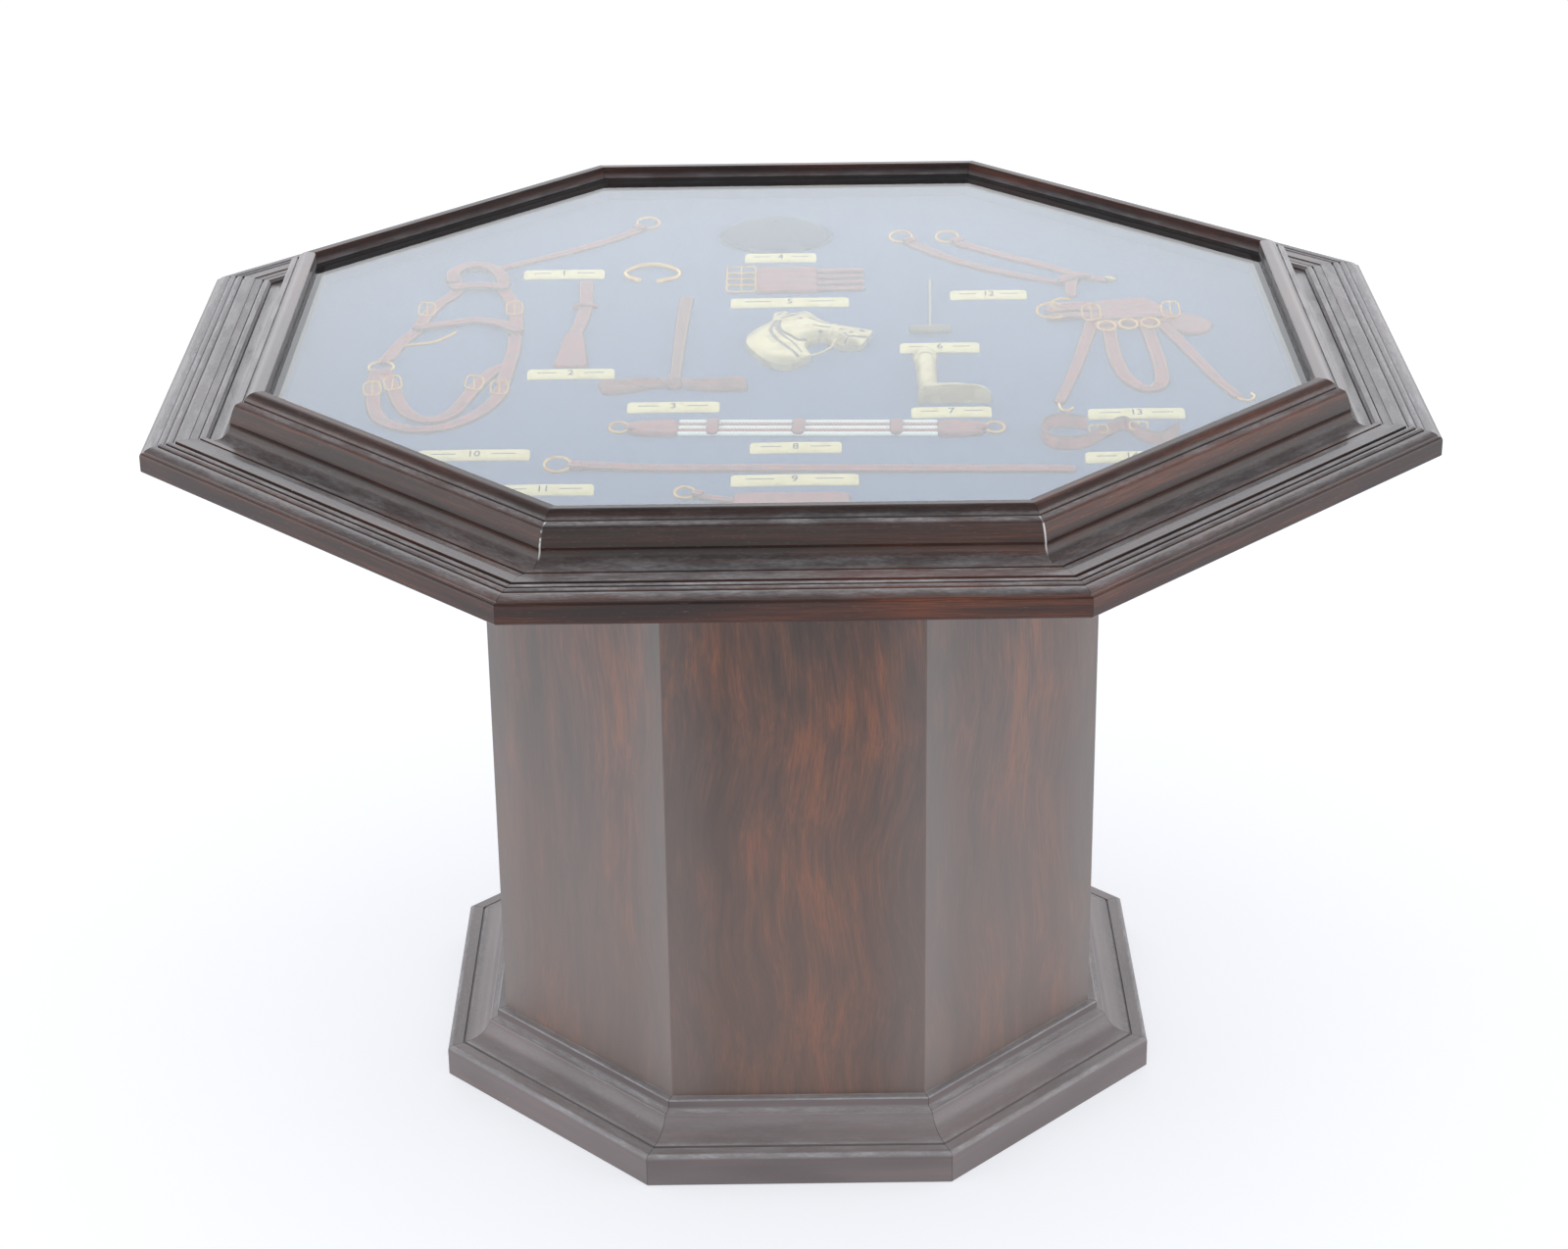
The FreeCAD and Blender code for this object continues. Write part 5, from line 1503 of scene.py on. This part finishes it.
for line in (*hooks, bit):
    fittings.append(wire([spot(share, wire_radius) for share in line], wire_radius))
for middle, reach in half_rings:
    around = [np.array([math.cos(a), 0.8 * math.sin(a), 0.25 * (1 + math.sin(a))])
              for a in np.linspace(0.9, 5.4, 18)]
    fittings.append(wire([spot(middle, wire_radius + 2.4 * mm) + reach * a for a in around], wire_radius))
for share in strap_buckles:
    fittings += buckle(share, (share[0] + 0.1, share[1]), 11 * mm, 7 * mm, 3.4 * mm, 20)
for route, width, thickness, lifts in ((breast_tip, narrow_width * 1.15, 1.2 * mm, [1.9, 2.2, 1.0]),
                                       (crown_plate, 6 * mm, 1.6 * mm, [0.2, 0.6, 0.2])):
    fittings.append(strap(route, width, thickness=thickness, lifts=lifts, stitched=False))
gather("brass_fittings", fittings, [polished_brass], replaced=["tack_hardware"], slot="brass")

# %% [markdown]
# ## Spur
#
# The spur is a thick open wire with a flattened ball at each end.

# %% Spur
spur_line = [spot(share, 1.5 * mm) for share in (
    (-0.318, 0.424), (-0.341, 0.448), (-0.345, 0.482), (-0.31, 0.522), (-0.268, 0.52), (-0.234, 0.482),
    (-0.236, 0.442), (-0.272, 0.416))]
spur_radii = [1.5 * mm, 1.1 * mm, 1.6 * mm, 1.1 * mm, 1.5 * mm]


def ball(centre, radius, squash):
    """Flattened ball on the cloth, as rings from pole to pole. The poles stay open by a hair."""
    tilts = np.linspace(-math.pi / 2, math.pi / 2, 9)
    turns = np.linspace(0, math.tau, 14, endpoint=False)
    return lofted([[centre + radius * np.array([max(math.cos(t), 0.05) * math.cos(a),
                                                max(math.cos(t), 0.05) * math.sin(a), squash * math.sin(t)])
                    for a in turns] for t in tilts])


spur_parts = [wire(spur_line, spur_radii, sides=12),
              *(ball(spur_line[end], 2.5 * mm, 0.65) for end in (0, -1))]
gather("brass_spur", spur_parts, [polished_brass], replaced=["spur"], slot="brass")

# %% [markdown]
# ## Mallet
#
# The mallet is a thin cane that tapers, and a turned head across its end, which is a wire of many radii.

# %% Mallet
mallet_end = (0.287, 0.08)
cane_line = [spot((0.3, 0.4), 1.2 * mm), spot((0.2935, 0.24), 1.3 * mm), spot(mallet_end, 3.0 * mm)]
cane_radii = [1.3 * mm, 0.9 * mm, 1.0 * mm]
# Places along the head from its middle and the radius there, in millimetres
head_shape = ((-14, 1.6), (-13.4, 2.6), (-7, 3.0), (7, 3.0), (13.4, 2.6), (14, 1.6))
head_line = [spot(mallet_end, 3.0 * mm) + np.array([x * mm, 0, 0]) for x, _ in head_shape]
head_radii = [radius * mm for _, radius in head_shape]
mallet_parts = [wire(cane_line, cane_radii), wire(head_line, head_radii, sides=16, is_smooth=False)]
gather("polo_mallet", mallet_parts, [malacca], replaced=["mallet"], slot="cane")

# %% [markdown]
# ## Horse head relief
#
# The centre piece is a horse's head and neck pressed in brass. It is a relief: an outline filled with
# points, whose height follows a rule. Its edge stands straight up from the cloth, so the ears and the
# line of the face stay crisp, and the head and neck swell softly from it.

# %% Outline and swell of the horse head
relief_step = 0.6 * mm
horse_edge = 4.3 * mm
horse_rise = 3.0 * mm
swell_width = 10 * mm
cheek = ((0.012, 0.05), (9 * mm, 10 * mm), 0.9 * mm)
horse_runs = (
    # mane and neck, down to the cut of the neck
    ((-0.0285, 0.177), (-0.036, 0.13), (-0.0616, 0.0928), (-0.0815, 0.052), (-0.0866, 0.02),
     (-0.0815, -0.018), (-0.065, -0.062), (-0.042, -0.107), (-0.012, -0.129), (0.011, -0.12)),
    ((0.028, -0.1), (0.0443, -0.076)),
    # throat and jaw, chin and lips, muzzle
    ((0.036, -0.045), (0.0305, -0.015), (0.038, 0.007), (0.064, 0.0267), (0.077, 0.022), (0.0906, 0.0)),
    ((0.1, -0.016), (0.1107, -0.023), (0.127, -0.018), (0.1434, -0.018), (0.151, 0.0), (0.1566, 0.0173)),
    ((0.164, 0.042), (0.169, 0.066)),
    # nose and brow up to the near ear, then between the ears
    ((0.145, 0.08), (0.1236, 0.0915), (0.084, 0.1147), (0.06, 0.146), (0.046, 0.176), (0.033, 0.192)),
    ((0.02, 0.18), (0.008, 0.176)),
    ((0.0, 0.18), (-0.006, 0.191)),
)


def horse_body(points, inset):
    """Rule for the soft swell of the head and neck over the straight edge, with the cheek on it."""
    swell = horse_rise * np.sin(math.pi / 2 * np.clip(inset / swell_width, 0, 1))
    return horse_edge + swell + bump_at(points, *cheek)


horse_outline = outline_of(horse_runs, relief_step)
print("outline points:", len(horse_outline))

# %% [markdown]
# The detail comes on top of the swell. Nearly all of it is cut in: the band along the neck, the jaw, the
# bone of the nose, the bridle's cheek piece and browband, the forelock, the mouth, the chin and the ears.
# Only the noseband and the brow stand up. Eye, nostril and the bridle's studs are small round marks.

# %% Detail of the horse head
detail_share = 0.42
detail_fade = 1.8 * mm
# Each line, its width and how far it rises or sinks
horse_lines = (
    # outer and inner edge of the band along the neck
    (((-0.027, 0.12), (-0.032, 0.085), (-0.0368, 0.048), (-0.0252, 0.0), (-0.0054, -0.045),
      (0.0162, -0.0934)), 1.0 * mm, -1.8 * mm),
    (((-0.0187, 0.112), (-0.0252, 0.062), (-0.012, 0.017), (0.0112, -0.027), (0.0244, -0.071)),
     0.9 * mm, -1.1 * mm),
    # jaw, nose bone, cheek piece, noseband
    (((-0.0187, 0.112), (-0.0205, 0.075), (-0.0153, 0.044), (0.0013, 0.0173), (0.0178, 0.0), (0.032, 0.008)),
     1.1 * mm, -1.9 * mm),
    (((0.0443, 0.1235), (0.0774, 0.0925), (0.1105, 0.0785)), 1.3 * mm, -1.2 * mm),
    (((0.05, 0.079), (0.0641, 0.0704), (0.084, 0.064)), 1.0 * mm, -1.0 * mm),
    (((0.094, 0.101), (0.089, 0.06), (0.084, 0.028)), 1.2 * mm, 0.7 * mm),
    # browband, forelock, mouth, chin
    (((-0.016, 0.127), (0.004, 0.136), (0.022, 0.155), (0.04, 0.168)), 0.9 * mm, -1.2 * mm),
    (((0.004, 0.168), (-0.002, 0.152), (0.006, 0.142)), 0.8 * mm, -0.9 * mm),
    (((0.158, 0.026), (0.14, 0.014), (0.1235, 0.012)), 0.9 * mm, -1.6 * mm),
    (((0.112, 0.03), (0.118, 0.008), (0.112, -0.012)), 0.9 * mm, -1.2 * mm),
    # far and near ear
    (((-0.02, 0.158), (-0.012, 0.178)), 1.1 * mm, -1.4 * mm),
    (((0.027, 0.166), (0.032, 0.182)), 1.1 * mm, -1.2 * mm),
)
# Each round mark, its half sizes and how far it rises or sinks
horse_marks = (
    ((0.0244, 0.1235), (2.4 * mm, 1.8 * mm), 1.0 * mm), ((0.0235, 0.119), (1.6 * mm, 0.9 * mm), -1.8 * mm),
    ((0.148, 0.048), (1.8 * mm, 1.5 * mm), -1.7 * mm), ((0.0641, 0.044), (1.6 * mm, 1.6 * mm), -1.4 * mm),
    ((0.106, 0.052), (1.6 * mm, 1.4 * mm), -1.2 * mm), ((0.126, 0.034), (1.6 * mm, 1.6 * mm), -1.3 * mm),
)


def horse_detail(points, inset):
    """Rule for the lines and marks, which fade at the edge."""
    lines = sum(ridge_along(points, *line) for line in horse_lines)
    marks = sum(bump_at(points, *mark) for mark in horse_marks)
    return detail_share * (lines + marks) * np.clip(inset / detail_fade, 0, 1)


print("lines:", len(horse_lines), "marks:", len(horse_marks))

# %% [markdown]
# The rein hangs from the bit's ring to the neck as a wire of its own, clear of the relief. The depth of
# the grooves goes into the UV map, where the brass reads it for its patina.

# %% Relief, rein and bit ring
groove_depth = 0.28 * mm
soft_rounds = 40
# Places of the rein and its height over the cloth in millimetres
rein = (((0.0939, 0.0), 5.6), ((0.084, -0.036), 5.2), ((0.0641, -0.067), 5.0), ((0.0476, -0.082), 5.2),
        ((0.021, -0.102), 5.8))
rein_line = [spot(share, height * mm) for share, height in rein]
bit_ring = [spot((0.1035, 0.006), 7.0 * mm) + 2.8 * mm * np.array([math.cos(a), 0.8 * math.sin(a), 0.3])
            for a in np.linspace(0, math.tau, 20, endpoint=False)]
points, faces, uv = pad(horse_outline, horse_body, relief_step, horse_edge, soft_rounds, horse_detail)
grooves = -horse_detail(points[:, :2], np.full(len(points), far_from_edge * mm))
uv[:, 0] = far_from_edge * (1 - np.clip(grooves / groove_depth, 0, 1))
horse_parts = [(points, faces, uv), wire(rein_line, 0.8 * mm), wire(bit_ring, 0.6 * mm, closed=True)]
gather("horse_head_relief", horse_parts, [satin_brass], replaced=["horse_head"], slot="brass", sharp=60)

# %% [markdown]
# ## Boot
#
# The brass boot lies on its back with the sole towards the front. Its upper is a row of arches that
# shrink from the sole to the ankle and go on as the leg, with a turned-over cuff at the top. The sole is
# a plate with a rounded edge and a welt, and the heel is a shorter plate.

# %% Boot
arch_turns = np.linspace(0, math.pi, 23)
sole_place = -0.32


def arch(y_share, left_share, right_share, height, power=1.0, shift=0.0):
    """Arch across the boot that stands on the cloth. Its height is in millimetres, and a power below one
    makes it squarer."""
    middle = (left_share + right_share) / 2 * case_reach
    half = (right_share - left_share) / 2 * case_reach
    return [(middle + half * math.copysign(abs(math.cos(a)) ** power, math.cos(a)),
             y_share * case_reach + shift, cloth_top + height * mm * math.sin(a) ** power)
            for a in arch_turns]


boot_rows = (
    # sole to ankle
    (-0.3095, 0.249, 0.386, 11.4, 0.7), (-0.304, 0.248, 0.384, 11.6, 0.75), (-0.297, 0.247, 0.376, 11.2, 0.8),
    (-0.29, 0.247, 0.36, 10.4, 0.85), (-0.283, 0.2475, 0.34, 9.4, 0.9), (-0.275, 0.248, 0.32, 8.4),
    (-0.265, 0.249, 0.303, 7.5), (-0.252, 0.25, 0.294, 6.9), (-0.24, 0.2505, 0.291, 6.7),
    # leg
    (-0.225, 0.25, 0.29, 6.7), (-0.19, 0.2495, 0.2905, 6.8), (-0.14, 0.249, 0.291, 6.8),
    # cuff
    (-0.098, 0.249, 0.291, 6.8), (-0.092, 0.2485, 0.2915, 7.0), (-0.09, 0.246, 0.294, 7.7),
    (-0.085, 0.2455, 0.2945, 7.9), (-0.066, 0.2455, 0.2945, 7.9), (-0.06, 0.2465, 0.2935, 7.6),
    (-0.058, 0.25, 0.29, 6.6),
)
# left, right, height, power and shift in millimetres
sole_rows = ((0.2475, 0.3875, 12.2, 0.62, 0.0), (0.2455, 0.3895, 12.6, 0.62, 0.5),
             (0.2455, 0.3895, 12.6, 0.62, 2.0), (0.2475, 0.3875, 12.1, 0.62, 2.4),
             (0.2475, 0.3875, 12.1, 0.62, 2.9), (0.2485, 0.3865, 11.6, 0.65, 3.4))
heel_rows = ((0.2475, 0.29, 11.6, 0.55, -0.05), (0.247, 0.2905, 11.9, 0.55, 0.5))
boot_parts = [lofted([arch(*row) for row in boot_rows])]
for rows in (sole_rows, heel_rows):
    boot_parts.append(lofted([arch(sole_place, left, right, height, power, shift * mm)
                              for left, right, height, power, shift in rows]))
gather("brass_boot", boot_parts, [satin_brass], replaced=["boot"], slot="brass")

# %% [markdown]
# ## Riding helmet
#
# The helmet is an oval dome of six gores with a covered button on top and a rolled brim. Each ring of the
# dome swells a little between the seams, which is what makes the gores show.

# %% Helmet
helmet_middle = (-0.025, 0.717)
helmet_half_width, helmet_half_depth = 37.5 * mm, 34 * mm
helmet_height = 0.91 * case_depth
helmet_turns = np.linspace(0, math.tau, 96, endpoint=False)
gore_count = 6
seam_depth, seam_sharpness = 0.05, 5
# How far the brim stands out and how high, in millimetres
brim_section = ((3.4, 0.0), (4.0, 0.5), (3.9, 1.4), (3.0, 2.0), (1.6, 1.9), (0.4, 1.5), (-1.5, 1.3))


def helmet_ring(tilt, grow=0.0, rise=0.0):
    """Ring of the dome at one tilt from its foot, its gores swelling between their seams."""
    seams = (1 - np.abs(np.sin(gore_count / 2 * helmet_turns))) ** seam_sharpness
    swell = 1 - seam_depth * seams * min(1, 3 * math.cos(tilt))
    across = (helmet_half_width * math.cos(tilt) + grow) * np.cos(helmet_turns) * swell
    deep = (helmet_half_depth * math.cos(tilt) + grow) * np.sin(helmet_turns) * swell
    level = np.full(len(helmet_turns), helmet_height * math.sin(tilt) + rise)
    return spot(helmet_middle) + np.column_stack([across, deep, level])


dome_rings = [helmet_ring(tilt) for tilt in np.linspace(0.06, 0.985 * math.pi / 2, 22)]
brim_rings = [helmet_ring(0, grow * mm, rise * mm) for grow, rise in brim_section]
helmet_parts = [lofted(dome_rings), lofted(brim_rings),
                ball(spot(helmet_middle, helmet_height), 2.4 * mm, 0.35)]
gather("velvet_helmet", helmet_parts, [velvet], replaced=["riding_helmet"], slot="helmet_cloth", sharp=50)

# %% [markdown]
# ## Number plates
#
# Each exhibit has a small cream enamel plate with a curved back edge, whose face slopes up to the back.
# It carries a plain number between two rules, as a numbered key to the display. The numbers come from
# the built-in font, are made a mesh, and are laid on the slope.

# %% Plates
plate_places = (
    # x, y and length, as shares
    (-0.477, 0.465, 0.172), (-0.432, -0.145, 0.172), (-0.225, -0.335, 0.178), (-0.015, 0.557, 0.154),
    (0.003, 0.265, 0.246), (0.302, -0.02, 0.16), (0.308, -0.38, 0.154), (0.009, -0.554, 0.172),
    (0.006, -0.714, 0.234), (-0.591, -0.572, 0.209), (-0.452, -0.748, 0.185), (0.418, 0.298, 0.16),
    (0.66, -0.4, 0.185), (0.63, -0.622, 0.172),
)
plate_depth, plate_thickness, plate_bow = 10.5 * mm, 1.4 * mm, 0.8 * mm
plate_slope = 0.24


def bowed(flat, centre, length):
    """The plate's slight curve: its middle stands further back than its ends."""
    share = (flat[:, 0] - centre[0]) / (length / 2)
    return np.column_stack([flat[:, 0], flat[:, 1] + plate_bow * (0.5 - share ** 2)])


def sloped(points, centre):
    """Heights for points on a plate's face, which slopes up to the back."""
    return plate_thickness + plate_slope * (points[:, 1] - centre[1] + plate_depth / 2)


plates = [(spot((x_share, y_share)), length_share * case_reach) for x_share, y_share, length_share
          in plate_places]
plate_parts = []
for centre, length in plates:
    outline = bowed(oblong(centre, length, plate_depth, 2.0 * mm), centre, length)
    points, faces, uv = pad(outline, domed(plate_thickness, 0.7 * mm), spacing=1.6 * mm, foot=0.6 * mm)
    upper = points[:, 2] > cloth_top + 0.1 * mm
    points[upper, 2] += sloped(points[upper], centre) - plate_thickness
    plate_parts.append((points, faces, uv))
gather("enamel_plates", plate_parts, [cream_enamel], replaced=["label_plates"], slot="label")

# %% [markdown]
# Ink lies on the enamel as the thinnest of layers. A rule is one oblong face on each side of the number.

# %% Numbers and rules
number_height, size_for_height = 5.8 * mm, 1.4
number_weight = 0.12 * mm
ink_thickness = 0.08 * mm
rule_offset, rule_half_length, rule_half_width = 0.27, 0.11, 0.35 * mm


def number_mesh(text, centre):
    """Part of a number, laid on the plate at a place."""
    curve = bpy.data.curves.new("number", "FONT")
    curve.body, curve.size = text, number_height * size_for_height
    curve.align_x, curve.align_y = "CENTER", "CENTER"
    curve.resolution_u, curve.offset = 3, number_weight
    made = bpy.data.objects.new("number", curve)
    bpy.context.scene.collection.objects.link(made)
    mesh = bpy.data.meshes.new_from_object(made.evaluated_get(bpy.context.evaluated_depsgraph_get()))
    points = np.array([v.co for v in mesh.vertices]) + np.array([*centre[:2], 0])
    points[:, 2] = cloth_top + sloped(points, centre) + ink_thickness
    faces = [tuple(p.vertices) for p in mesh.polygons]
    bpy.data.objects.remove(made)
    bpy.data.meshes.remove(mesh)
    return points, faces, np.full((len(points), 2), far_from_edge)


ink_parts = []
for number, (centre, length) in enumerate(plates, 1):
    ink_parts.append(number_mesh(str(number), centre))
    for hand in (-1, 1):
        middle = centre[0] + hand * length * rule_offset
        rule = np.array([(middle + x * length * rule_half_length, centre[1] + y * rule_half_width)
                         for x, y in ((-1, -1), (1, -1), (1, 1), (-1, 1))])
        level = cloth_top + sloped(rule, centre) + ink_thickness
        ink_parts.append((np.column_stack([rule, level]), [(0, 1, 2, 3)], np.full((4, 2), far_from_edge)))
gather("plate_numbers", ink_parts, [black_ink], slot="label")

# %% [markdown]
# ## Stitches
#
# Saddle stitching runs along both edges of every strap, some thousands of short thread lengths. This is
# what Geometry Nodes are good at: the kept stitch lines become a curve, the curve gives points one pitch
# apart, and each point takes a small rounded thread that is turned along the line. A real stitch is about
# 2 mm long on tack of this size. No two are quite alike, so a random share changes each one's length.

# %% Stitch tree
stitch_sizes = {"Pitch": 2.6 * mm, "Length": 1.9 * mm, "Thickness": 0.5 * mm}
stitch_seed = 3
group = bpy.data.node_groups.new("saddle_stitches", "GeometryNodeTree")
group.interface.new_socket("Geometry", in_out="INPUT", socket_type="NodeSocketGeometry")
group.interface.new_socket("Geometry", in_out="OUTPUT", socket_type="NodeSocketGeometry")
sockets = {label: group.interface.new_socket(label, in_out="INPUT", socket_type="NodeSocketFloat")
           for label in stitch_sizes}
sockets["Seed"] = group.interface.new_socket("Seed", in_out="INPUT", socket_type="NodeSocketInt")

given = add(group, "NodeGroupInput").outputs
curve = add(group, "GeometryNodeMeshToCurve", {0: given["Geometry"]})
points = add(group, "GeometryNodeCurveToPoints", {"Curve": curve, "Length": given["Pitch"]}, mode="LENGTH")
thread = add(group, "GeometryNodeMeshUVSphere", {"Segments": 5, "Rings": 4, "Radius": 0.5})
uneven = add(group, "FunctionNodeRandomValue", {2: 0.85, 3: 1.1, "Seed": given["Seed"]})
length = add(group, "Math", {0: given["Length"], 1: uneven}, **product)
size = add(group, "CombineXYZ", {0: given["Thickness"], 1: given["Thickness"], 2: length})
placed = add(group, "GeometryNodeInstanceOnPoints", {
    "Points": points, "Instance": thread, "Rotation": points.outputs["Rotation"], "Scale": size})
real = add(group, "GeometryNodeRealizeInstances", {0: placed})
threaded = add(group, "GeometryNodeSetMaterial", {0: real, "Material": waxed_thread})
add(group, "NodeGroupOutput", {0: threaded})
print("stitch tree:", len(group.nodes), "nodes")

# %% [markdown]
# The kept lines become one mesh of edges. The tree runs on it as a modifier, whose inputs are set by their
# identifiers before it is first evaluated, and its result is kept as a plain mesh.

# %% Stitches in place
line_mesh = bpy.data.meshes.new("stitch_lines")
starts = np.cumsum([0] + [len(line) for line in stitch_lines])
line_mesh.from_pydata((np.vstack(stitch_lines) + set_forward).tolist(),
                      [(start + i, start + i + 1) for start, line in zip(starts, stitch_lines)
                       for i in range(len(line) - 1)], [])
lines = bpy.data.objects.new("stitch_lines", line_mesh)
bpy.context.scene.collection.objects.link(lines)
modifier = lines.modifiers.new("stitches", "NODES")
modifier.node_group = group
for label, value in (*stitch_sizes.items(), ("Seed", stitch_seed)):
    modifier[sockets[label].identifier] = value
stitch_mesh = bpy.data.meshes.new_from_object(lines.evaluated_get(bpy.context.evaluated_depsgraph_get()))
lines.modifiers.remove(modifier)
bpy.data.objects.remove(lines)
stitch_mesh.name = "saddle_stitching"
finish_piece("saddle_stitching", stitch_mesh, [], slot="leather", sharp=180)
